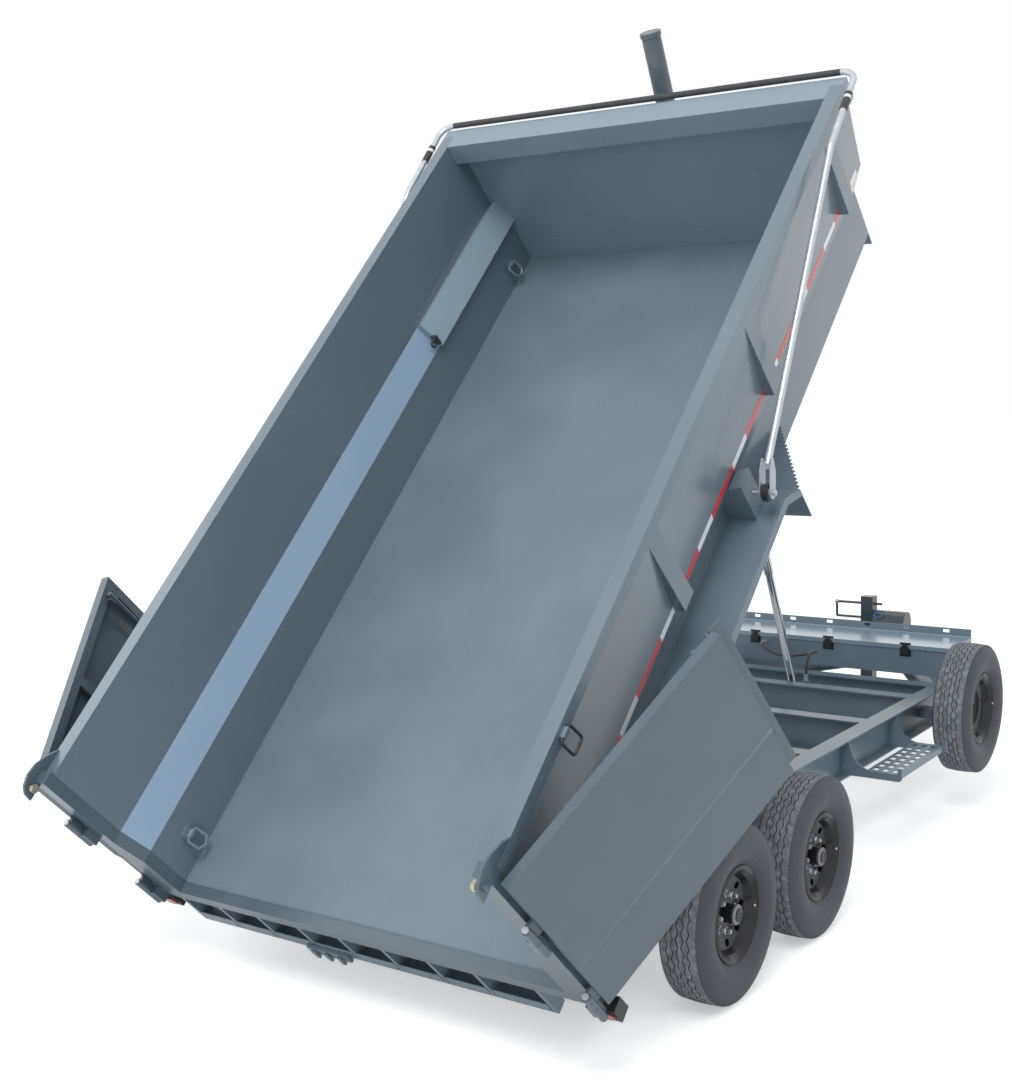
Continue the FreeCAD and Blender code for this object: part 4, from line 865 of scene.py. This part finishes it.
@dataclass
class SideTape:
    """Red and white reflective tape along the foot of both upper panels."""

    red: float = 0.28
    white: float = 0.18
    start: float = 0.14
    end: float = 4.20
    low: float = 0.441
    tall: float = 0.032
    lift: float = 0.0008
    rim: float = 0.060

    def out(self, high: float) -> float:
        """Give the panel's outside at a height over the floor."""
        top = WALL_TALL - self.rim
        return TAPE_OUT + (RAIL_OUT - TAPE_OUT) * (high - FACET_HIGH) / (top - FACET_HIGH)

    def build(self) -> None:
        """Lay both colours on both sides."""
        for side, sign in (("left", -1), ("right", 1)):
            tapes = {"red": (Form(), self.red, TAPE_RED),
                     "white": (Form(), self.white, TAPE_WHITE)}
            along = self.start
            for form, length, _ in cycle(tapes.values()):
                if along >= self.end:
                    break
                reach = min(along + length, self.end)
                self._strip(form, sign, along, reach)
                along = reach
            for colour, (form, _, finish) in tapes.items():
                seat(f"{side}_tape_{colour}", form, finish, "bed", BED)

    def _strip(self, form: Form, sign: int, start: float, end: float) -> None:
        """Add one strip of tape.

        Args:
            form: the form that it joins.
            sign: side of the bed.
            start: where it starts along the bed.
            end: where it ends.
        """
        high = self.low + self.tall
        near = [(self.out(self.low), self.low), (self.out(self.low) + self.lift, self.low),
                (self.out(high) + self.lift, high), (self.out(high), high)]
        corners = [(sign * u, v, w) for v in (start, end) for u, w in near]
        faces = [(0, 1, 2, 3), (7, 6, 5, 4), (0, 4, 5, 1), (1, 5, 6, 2), (2, 6, 7, 3),
                 (3, 7, 4, 0)]
        if sign < 0:
            faces = [face[::-1] for face in faces]
        form.add(corners, faces)


@dataclass
class TieRings:
    """Folding D-rings on the bed's lower walls."""

    along: tuple = (0.235, 4.070)
    high: float = 0.130
    wire: float = 0.008

    def build(self) -> None:
        """Make the clips and rings of both sides."""
        for side, sign in (("left", -1), ("right", 1)):
            clips, rings = Form(), Form()
            for spot in self.along:
                place = BED @ Matrix.Translation((sign * FLOOR_HALF, spot, self.high))
                inward = Matrix.Rotation(math.pi if sign > 0 else 0.0, 4, "Z")
                self._ring(clips, rings, place @ inward)
            seat(f"{side}_ring_clips", clips, PAINT, "bed", bevel=0.0015)
            seat(f"{side}_tie_rings", rings, PAINT, "bed")

    def _ring(self, clips: Form, rings: Form, place: Matrix) -> None:
        """Add one ring hanging from its clip.

        Args:
            clips: form of the clips.
            rings: form of the rings.
            place: the clip's frame, with X into the load space and Z up the wall.
        """
        clips.block((0.0, -0.034, -0.028), (0.006, 0.034, 0.040), place)
        saddle = [(0.006, -0.016), (0.020, -0.016), (0.027, -0.008), (0.027, 0.008),
                  (0.020, 0.016), (0.006, 0.016)]
        clips.prism(saddle, -0.022, 0.022, place @ Matrix.Rotation(math.pi / 2, 4, "X"))
        path = arc_path([(0.0, 0.0, 0.0), (0.0, 0.036, 0.0), (0.030, 0.036, -0.062),
                         (0.034, 0.0, -0.082), (0.030, -0.036, -0.062), (0.0, -0.036, 0.0),
                         (0.0, -0.001, 0.0)], 0.012, 4)
        rings.tube(path, self.wire, 12, place=place @ Matrix.Translation((0.0155, 0, 0)))


@dataclass
class AxleClamps:
    """U-bolts and nuts that clamp the springs to the axles."""

    grower: Grower
    tube: float = 0.038
    rail_mid: float = 0.892
    spring_half: float = 0.034
    tail: float = 0.055
    wire: float = 0.0065

    def build(self) -> None:
        """Make both axles' clamps."""
        form = Form()
        for along in AXLES.values():
            for sign in (-1, 1):
                for offset in (-self.spring_half, self.spring_half):
                    self._bolt(form, sign * self.rail_mid + offset, along)
        seat("spring_clamps", form, ZINC, "frame", FRAME)

    def _bolt(self, form: Form, x: float, along: float) -> None:
        """Add one U-bolt with its nuts.

        Args:
            form: form that it joins.
            x: its plane across the trailer.
            along: its axle's distance ahead of the hinge axis.
        """
        reach = self.tube + self.wire + 0.0005
        low = TYRE_RADIUS - self.tube - self.tail
        path = arc_path([(x, along - reach, low), (x, along - reach, TYRE_RADIUS + reach),
                         (x, along + reach, TYRE_RADIUS + reach), (x, along + reach, low)],
                        reach - 0.002, 8)
        form.tube(path, self.wire, 10)
        for side in (-reach, reach):
            form.prism(polygon(0.011, 6), -0.006, 0.006,
                       Matrix.Translation((x, along + side, low + 0.010)))


@dataclass
class Glands:
    """Wiper lips where the cylinder's stages slide out of one another."""

    stages: tuple = (("cylinder_stage_2", 0.0325), ("cylinder_stage_3", 0.0390),
                     ("cylinder_stage_4", 0.0455), ("cylinder_cover", 0.0520))
    inset: float = 0.0035
    lip: float = 0.0028

    def build(self) -> None:
        """Set a lip at the lower end of each outer stage."""
        foot = FRAME @ Vector((0, FOOT_OUT, FOOT_HIGH))
        along = Vector(CYLINDER_WAY).normalized()
        turn = along.to_track_quat("X", "Z").to_matrix().to_4x4()
        for node, radius in self.stages:
            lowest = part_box(node)[0][2] + radius * math.sqrt(1 - along.z ** 2)
            spot = foot + along * ((lowest - foot.z) / along.z)
            form = Form()
            form.tube([(-0.001, y, z) for y, z in polygon(radius - self.inset, 48)], self.lip,
                      10, loop=True, place=Matrix.Translation(spot) @ turn)
            seat(node + "_wiper", form, RUBBER, node)


@dataclass
class BoxLatches:
    """Black paddle latches under the toolbox lid's lip."""

    across: tuple = (-0.50, 0.04, 0.58)
    high: float = 0.836
    blocks: tuple = (((-0.038, -0.004, -0.046), (0.038, 0.0, 0.046)),
                     ((-0.028, -0.016, -0.036), (0.028, -0.004, 0.018)),
                     ((-0.016, -0.022, 0.018), (0.016, -0.004, 0.036)))

    def build(self) -> None:
        """Make the latches as one piece."""
        form = Form()
        for spot in self.across:
            place = FRAME @ Matrix.Translation((spot, BOX_REAR, self.high))
            for low, high in self.blocks:
                form.block(low, high, place)
        seat("toolbox_latches", form, DARK_PLASTIC, "frame", bevel=0.002)


@dataclass
class Hose:
    """The hydraulic hose from the pump to the cylinder's foot, with its fittings."""

    radius: float = 0.0095
    length: float = 0.93
    across: float = 0.069
    port: float = 0.655

    def route(self) -> list[Vector]:
        """Give the route's points, the same as the model's."""
        rear = BOX_REAR
        foot = FOOT_OUT + 0.032
        spots = ((-0.430, rear, 0.800), (-0.430, rear - 0.100, 0.800),
                 (-0.230, rear - 0.170, 0.735), (self.across - 0.009, rear - 0.170, 0.800),
                 (self.across, foot, 0.850), (self.across, foot, self.port))
        return [FRAME @ Vector(spot) for spot in spots]

    def build(self) -> None:
        """Make the hose, then a fitting at each end."""
        route = self.route()
        curve = Grower.curve(route)
        curve.name = "pump_hose"
        curve.data.name = "pump_hose"
        curve.data.bevel_depth = self.radius
        curve.data.bevel_resolution = 6
        curve.data.resolution_u = 16
        curve.data.materials.append(RUBBER.material())
        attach(curve, "frame")
        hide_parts("hydraulic_hose")
        form = Form()
        for end, inward in ((route[0], route[1] - route[0]), (route[-1], route[-2] - route[-1])):
            turn = inward.to_track_quat("X", "Z").to_matrix().to_4x4()
            place = Matrix.Translation(end) @ turn
            form.lathe([(0.0, 0.0150), (0.0150, 0.0150)], 6, place)
            form.lathe([(0.0150, 0.0125), (0.0420, 0.0125), (0.0440, 0.0110)], 24, place)
        seat("hose_fittings", form, ZINC, "frame", bevel=0.0008)


@dataclass
class TailLenses:
    """Oval red lenses in rubber rings on the tail lamp boxes."""

    middle: float = 1.1975
    face: float = -0.006
    high: float = -0.116
    half_wide: float = 0.036
    half_tall: float = 0.028

    def build(self) -> None:
        """Make the lenses and their rings."""
        lenses, rings = Form(), Form()
        for sign in (-1, 1):
            place = (BED @ Matrix.Translation((sign * self.middle, self.face, self.high))
                     @ Matrix.Rotation(math.pi / 2, 4, "X"))
            for form, grow, low, high in ((rings, 0.006, -0.001, 0.004),
                                          (lenses, 0.0, 0.003, 0.009)):
                wide, tall = self.half_wide + grow, self.half_tall + grow
                form.prism([(wide * x, tall * y) for x, y in polygon(1.0, 48)], low, high, place)
        seat("tail_rings", rings, RUBBER, "bed", bevel=0.001)
        seat("tail_lenses", lenses, LENS_RED, "bed", bevel=0.002)


@dataclass
class Hardware:
    """Bolts, pin heads, hold-back rings, drum housings and the crank's knob."""

    grower: Grower
    jack_bolts: tuple = (0.075, 0.065)
    channel_bolts: tuple = (0.105, 0.060)
    hinges_high: tuple = (0.111, 0.647)
    hang_pin: tuple = (RAIL_OUT - 0.040, -0.030, 0.943)
    ring_spot: tuple = (RAIL_OUT, 0.620, 0.890)
    ring_wire: float = 0.0065
    ring_line: tuple = ((0.011, 0.0, 0.0), (0.011, 0.040, 0.0), (0.030, 0.040, -0.085),
                        (0.030, -0.040, -0.085), (0.011, -0.040, 0.0), (0.011, -0.001, 0.0))
    crank_reach: float = 0.200
    crank_drop: float = 0.055
    loop_half: tuple = (0.032, 0.019)
    loop_drop: float = 0.122

    @staticmethod
    def bolt() -> Form:
        """Give a bolt head on its washer, standing along Z."""
        form = Form()
        form.prism(polygon(0.015, 20), -0.001, 0.0025)
        form.prism(polygon(0.0115, 6), 0.0025, 0.0105)
        return form

    def build(self) -> None:
        """Make all the small hardware."""
        low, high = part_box("jack_plate")
        middle = (low[1] + high[1]) / 2
        across, apart = self.jack_bolts
        self._four("jack_bolts", [Matrix.Translation((-across, middle + side, high[2]))
                                  for side in (-apart, apart)], 2 * across)
        low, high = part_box("coupler_channel")
        middle = (low[2] + high[2]) / 2
        front = Matrix.Rotation(-math.pi / 2, 4, "X")
        across, apart = self.channel_bolts
        self._four("channel_bolts", [Matrix.Translation((-across, high[1], middle + side)) @ front
                                     for side in (-apart, apart)], 2 * across)
        self._pin_heads()
        self._rings()
        self._drums()
        self._knob()

    def _four(self, name: str, places: Sequence[Matrix], apart: float) -> None:
        """Set two pairs of bolts on the frame.

        Args:
            name: the piece's name.
            places: the first bolt of each pair.
            apart: distance between the two of a pair.
        """
        bolts = self.grower.grow(self.grower.row, self.bolt(), ZINC, places, Count=2,
                                 Start=Vector((0, 0, 0)), Step=Vector((apart, 0, 0)))
        seat(name, bolts, ZINC, "frame")

    def _pin_heads(self) -> None:
        """Put heads on the door pins and nuts on the hanging pins."""
        heads, nuts = Form(), Form()
        out, along, top = self.hang_pin
        for sign in (-1, 1):
            for high in self.hinges_high:
                place = BED @ Matrix.Translation((sign * DOOR_AXIS_OUT, -DOOR_AXIS_BACK, high))
                heads.prism(polygon(0.0145, 6), 0.0, 0.010, place)
            turn = Matrix.Rotation(-sign * math.pi / 2, 4, "Y")
            nuts.prism(polygon(0.021, 6), -0.014, 0.004,
                       BED @ Matrix.Translation((sign * out, along, top)) @ turn)
        seat("door_pin_heads", heads, ZINC, "bed", bevel=0.001)
        seat("hang_pin_nuts", nuts, YELLOW_ZINC, "bed", bevel=0.001)

    def _rings(self) -> None:
        """Hang the hold-back rings on the outside of both rails."""
        saddles, rings = Form(), Form()
        out, along, high = self.ring_spot
        for sign in (-1, 1):
            place = BED @ Matrix.Translation((sign * out, along, high))
            near, far = sorted((0.0, sign * 0.022))
            saddles.block((near, -0.024, -0.012), (far, 0.024, 0.012), place)
            path = arc_path([(sign * x, y, z) for x, y, z in self.ring_line], 0.014, 5)
            rings.tube(path, self.ring_wire, 12, place=place)
        seat("hold_back_saddles", saddles, PAINT, "bed", bevel=0.004)
        seat("hold_back_rings", rings, BAR_BLACK, "bed")

    @staticmethod
    def _drums() -> None:
        """Put the black housings on the tarp arms' spring drums."""
        form = Form()
        for sign in (-1, 1):
            form.lathe([(-0.0150, 0.020), (-0.0150, 0.037), (-0.0125, 0.0395),
                        (0.0125, 0.0395), (0.0150, 0.037), (0.0150, 0.020)], 36,
                       BED @ Matrix.Translation((sign * ARM_OUT, *ARM_PIVOT)))
        seat("spring_drums", form, DARK_PLASTIC, "bed")

    def _knob(self) -> None:
        """Put the pivot knob on the jack's crank and the blue ring beside the post."""
        form = Form()
        form.lathe([(-0.016, 0.006), (-0.012, 0.013), (0.0, 0.0165), (0.012, 0.013),
                    (0.016, 0.006)], 24, FRAME @ Matrix.Translation((
                        -JACK_SIDE / 2 - self.crank_reach, JACK_OUT, JACK_TOP - self.crank_drop)))
        seat("crank_knob", form, ZINC, "frame")
        low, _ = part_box("pump_cover")
        middle = Vector((low[0] + 0.045, low[1] - 0.004, JACK_TOP - self.loop_drop))
        wide, tall = self.loop_half
        ring = Form()
        ring.tube([middle + Vector((wide * x, 0, tall * z)) for x, z in polygon(1.0, 32)],
                  0.004, 10, loop=True)
        seat("jack_ring", ring, SAFETY_BLUE, "frame")


@dataclass
class RackTrim:
    """Face strips of the ramp rack, the latch under its middle and the ledge's hook."""

    dividers: tuple = (-1.10, -0.86, -0.62, -0.38, -0.14, 0.10, 0.34, 0.58, 0.88)
    low: float = -0.280
    high: float = -0.205
    latch: tuple = ((-0.42, -0.020, -0.290), (-0.18, -0.001, -0.235))
    hasps: tuple = (-0.385, -0.310, -0.235)
    hasp_wide: float = 0.022
    hook_spot: tuple = (-1.060, 3.232, 0.345)

    def build(self) -> None:
        """Make the strips, the latch and the hook."""
        faces = Form()
        for left, right in zip(self.dividers, self.dividers[1:]):
            faces.block((left + 0.026, -0.001, self.low + 0.019),
                        (right - 0.006, 0.004, self.high), BED)
        seat("rack_faces", faces, PAINT, "bed", bevel=0.001)
        latch = Form()
        latch.block(*self.latch, BED)
        for spot in self.hasps:
            latch.block((spot, -0.034, -0.300), (spot + self.hasp_wide, -0.020, -0.240), BED)
        seat("gate_latch", latch, PAINT, "bed", bevel=0.003)
        hook = Form()
        place = BED @ Matrix.Translation(self.hook_spot)
        hook.block((0.0, -0.004, -0.030), (0.040, 0.008, 0.030), place)
        hook.tube(arc_path([(0.020, -0.002, 0.018), (0.020, -0.045, 0.018),
                            (0.020, -0.045, -0.018), (0.020, -0.002, -0.018)], 0.010, 5),
                  0.006, 12, place=place)
        seat("ledge_hook", hook, BAR_BLACK, "bed")


@dataclass
class ArmSleeves:
    """Rubber sleeves and pale bands on the tarp arms, short of their elbows."""

    knee: tuple = (1.243, 3.85, 0.89)
    elbow: tuple = (1.235, 4.355, 0.93)
    radius: float = 0.0195

    def build(self) -> None:
        """Make the sleeves and the bands of both arms."""
        sleeves, bands = Form(), Form()
        for sign in (-1, 1):
            start, end = (Vector((sign * spot[0], *spot[1:])) for spot in (self.knee, self.elbow))
            for form, low, high, grow in ((sleeves, 0.46, 0.60, 0.0), (bands, 0.60, 0.64, -0.001),
                                          (sleeves, 0.64, 0.68, 0.0)):
                form.tube([start.lerp(end, low), start.lerp(end, high)], self.radius + grow, 24,
                          place=BED)
        seat("arm_sleeves", sleeves, RUBBER, "tarp_bow")
        seat("arm_bands", bands, SLEEVE_WHITE, "tarp_bow")


@dataclass
class Welds:
    """Beads of overlapping scales along seams, whose ends are in the bed's frame."""

    grower: Grower
    spacing: float = 0.009
    roll: float = 0.7
    seams: tuple = (
        ((-1.045, 0.060, 0.0), (1.045, 0.060, 0.0)),
        ((-1.045, 4.266, 0.0), (1.045, 4.266, 0.0)),
    )

    @staticmethod
    def scale() -> Form:
        """Give one flat scale of a bead, standing along Z."""
        form = Form()
        form.lathe([(-0.006, 0.0012), (-0.002, 0.0036), (0.003, 0.0040), (0.006, 0.0015)], 8,
                   Matrix.Rotation(-math.pi / 2, 4, "Y"))
        return form

    def build(self) -> None:
        """Lay the beads."""
        welds = Form()
        for start, end in self.seams:
            path = Grower.curve([start, Vector(start).lerp(Vector(end), 0.5), end])
            bead = self.grower.grow(self.grower.path, self.scale(), BED_PAINT, [BED], Path=path,
                                    Spacing=self.spacing, Roll=self.roll)
            welds.add(bead.points, bead.faces)
            bpy.data.objects.remove(path)
        seat("floor_welds", welds, BED_PAINT, "bed")


@dataclass
class Studio:
    """Pale floor, soft light and the camera."""

    aim: tuple = (0.0, -4.0, 1.0)
    floor_lift: float = 0.42
    sky_colour: tuple = (0.93, 0.965, 1.0, 1)
    sky_strength: float = 0.76
    lens: float = 50.19
    shift: tuple = (0.0072, 0.0038)
    eye: tuple = (4.062, -10.373, 2.744)
    turns: tuple = (35.322, -6.657, -1.36)
    lamps: tuple = (("key_lamp", (3.0, -12.0, 12.0), 6.0, 1000),
                    ("fill_lamp", (-9.0, -9.5, 6.5), 7.0, 200))

    def floor(self) -> None:
        """Lay a wide pale floor, lifted to white for the camera alone."""
        form = Form()
        form.block((-60, -60, -0.02), (60, 60, 0.0))
        ground = show("studio_floor", form.mesh("studio_floor"))
        material = bpy.data.materials.new("studio_floor")
        material.use_nodes = True
        tree = material.node_tree
        ray = put(tree, "ShaderNodeLightPath").outputs["Is Camera Ray"]
        lift = put(tree, "ShaderNodeMath", {0: ray, 1: self.floor_lift}, operation="MULTIPLY")
        feed(tree, tree.nodes["Principled BSDF"], {
            "Base Color": (0.94, 0.94, 0.94, 1), "Emission Color": (1.0, 1.0, 1.0, 1),
            "Emission Strength": lift.outputs[0], "Roughness": 0.9})
        ground.data.materials.append(material)

    def light(self) -> None:
        """Set an even sky, which rays that show it see as white, and two broad lamps."""
        world = bpy.data.worlds.new("studio_sky")
        bpy.context.scene.world = world
        world.use_nodes = True
        tree = world.node_tree
        sky = tree.nodes["Background"]
        feed(tree, sky, {"Color": self.sky_colour, "Strength": self.sky_strength})
        white = put(tree, "ShaderNodeBackground", {"Color": (1, 1, 1, 1), "Strength": 1.0})
        ray = put(tree, "ShaderNodeLightPath").outputs
        either = ray["Is Camera Ray"]
        for name in ("Is Glossy Ray", "Is Transmission Ray"):
            either = put(tree, "ShaderNodeMath", {0: either, 1: ray[name]},
                         operation="MAXIMUM").outputs[0]
        mix = put(tree, "ShaderNodeMixShader", {"Fac": either, 1: sky.outputs["Background"],
                                                2: white.outputs["Background"]})
        feed(tree, tree.nodes["World Output"], {"Surface": mix.outputs["Shader"]})
        for lamp in self.lamps:
            self._lamp(*lamp)

    def _lamp(self, name: str, spot: Spot, side: float, power: float) -> None:
        """Add a square lamp that looks at the trailer.

        Args:
            name: its name.
            spot: where it hangs.
            side: its side length.
            power: its power in watts.
        """
        data = bpy.data.lights.new(name, "AREA")
        data.size = side
        data.energy = power
        lamp = show(name, data)
        lamp.location = spot
        look = Vector(self.aim) - Vector(spot)
        lamp.rotation_euler = look.to_track_quat("-Z", "Y").to_euler()

    def camera(self) -> None:
        """Set the camera where the photographer stood."""
        data = bpy.data.cameras.new("photo_view")
        data.sensor_fit = "VERTICAL"
        data.sensor_height = 36.0
        data.lens = self.lens
        data.shift_x, data.shift_y = self.shift
        data.clip_end = 300
        made = show("photo_view", data)
        yaw, pitch, roll = (math.radians(angle) for angle in self.turns)
        forward = Vector((-math.sin(yaw) * math.cos(pitch), math.cos(yaw) * math.cos(pitch),
                          math.sin(pitch)))
        level = Vector((math.cos(yaw), math.sin(yaw), 0))
        rise = level.cross(forward)
        right = level * math.cos(roll) + rise * math.sin(roll)
        up = rise * math.cos(roll) - level * math.sin(roll)
        turn = Matrix((right, up, -forward)).transposed().to_4x4()
        made.matrix_world = Matrix.Translation(self.eye) @ turn
        bpy.context.scene.camera = made


def dress_nodes(frame: dict) -> None:
    """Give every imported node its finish.
    """
    slots = {part["node"]: part["material_slot"] for part in frame["record"]["subparts"]}
    for name, node in frame["nodes"].items():
        finish = NODE_FINISH.get(name, SLOT_FINISH[slots[name]])
        for held in node.material_slots:
            held.material = finish.material()
        if not node.material_slots:
            node.data.materials.append(finish.material())
        if name in SOFT_EDGES:
            soften(node, SOFT_EDGE_WIDE, 1)


def repaint(node: bpy.types.Object, finish: Finish,
            chosen: Callable[[Vector, Vector], bool]) -> None:
    """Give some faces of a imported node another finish.

    Args:
        node: the node's object.
        finish: the other finish.
        chosen: tells from a face's middle and normal in the bed's frame if it is meant.
    """
    node.data.materials.append(finish.material())
    slot = len(node.data.materials) - 1
    back = BED.inverted()
    turn = back.to_3x3()
    for face in node.data.polygons:
        if chosen(back @ face.center, turn @ face.normal):
            face.material_index = slot


def paint_parts(frame: dict) -> None:
    """Repaint the facets with a lighter paint as painted sheen, the tarp arms' brackets and the
    bow's cross tube.
    """
    nodes = frame["nodes"]
    # The upward inner facets get the lighter paint as painted sheen, standing in for the sky's
    # reflection.
    for name, sign in (("left_wall", -1), ("right_wall", 1)):
        repaint(nodes[name], FACET_SHEEN_PAINT,
                lambda spot, normal, sign=sign: normal.x * sign < -0.5 and normal.z > 0.3)
    repaint(nodes["tarp_pivots"], PAINT, lambda spot, normal: abs(spot.x) < BRACKET_OUT)
    repaint(nodes["tarp_pivots"], BAR_BLACK,
            lambda spot, normal: HOUSING_OUT[0] < abs(spot.x) < HOUSING_OUT[1]
            and math.hypot(spot.y - ARM_PIVOT[0], spot.z - ARM_PIVOT[1]) > HOUSING_EYE)
    repaint(nodes["tarp_bow"], BAR_BLACK,
            lambda spot, normal: abs(spot.x) < BOW_HALF and spot.y > BOW_AHEAD)


def main() -> None:
    """Dress the frame, build the fine parts and set up the studio."""
    logging.basicConfig(level=logging.INFO, format="%(message)s")
    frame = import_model()
    dress_nodes(frame)
    studio = Studio()
    studio.camera()
    studio.light()
    studio.floor()
    grower = Grower()
    for where, along in AXLES.items():
        for side, sign in (("right", 1), ("left", -1)):
            body = f"{where}_{side}_wheel"
            place = wheel_frame(sign, along)
            Tyre(f"{where}_{side}_tyre", body, place).build()
            Wheel(f"{where}_{side}", body, place, grower).build()
    spare = wheel_frame(1, *SPARE_SPOT)
    Tyre("spare_tyre", "frame", spare).build()
    Wheel("spare", "frame", spare, grower, with_hub=False).build()
    SideTape().build()
    TieRings().build()
    AxleClamps(grower).build()
    Glands().build()
    BoxLatches().build()
    Hose().build()
    TailLenses().build()
    Hardware(grower).build()
    ArmSleeves().build()
    RackTrim().build()
    Welds(grower).build()
    paint_parts(frame)
    bpy.context.scene.view_settings.view_transform = "Standard"


if __name__ == "__main__":
    main()
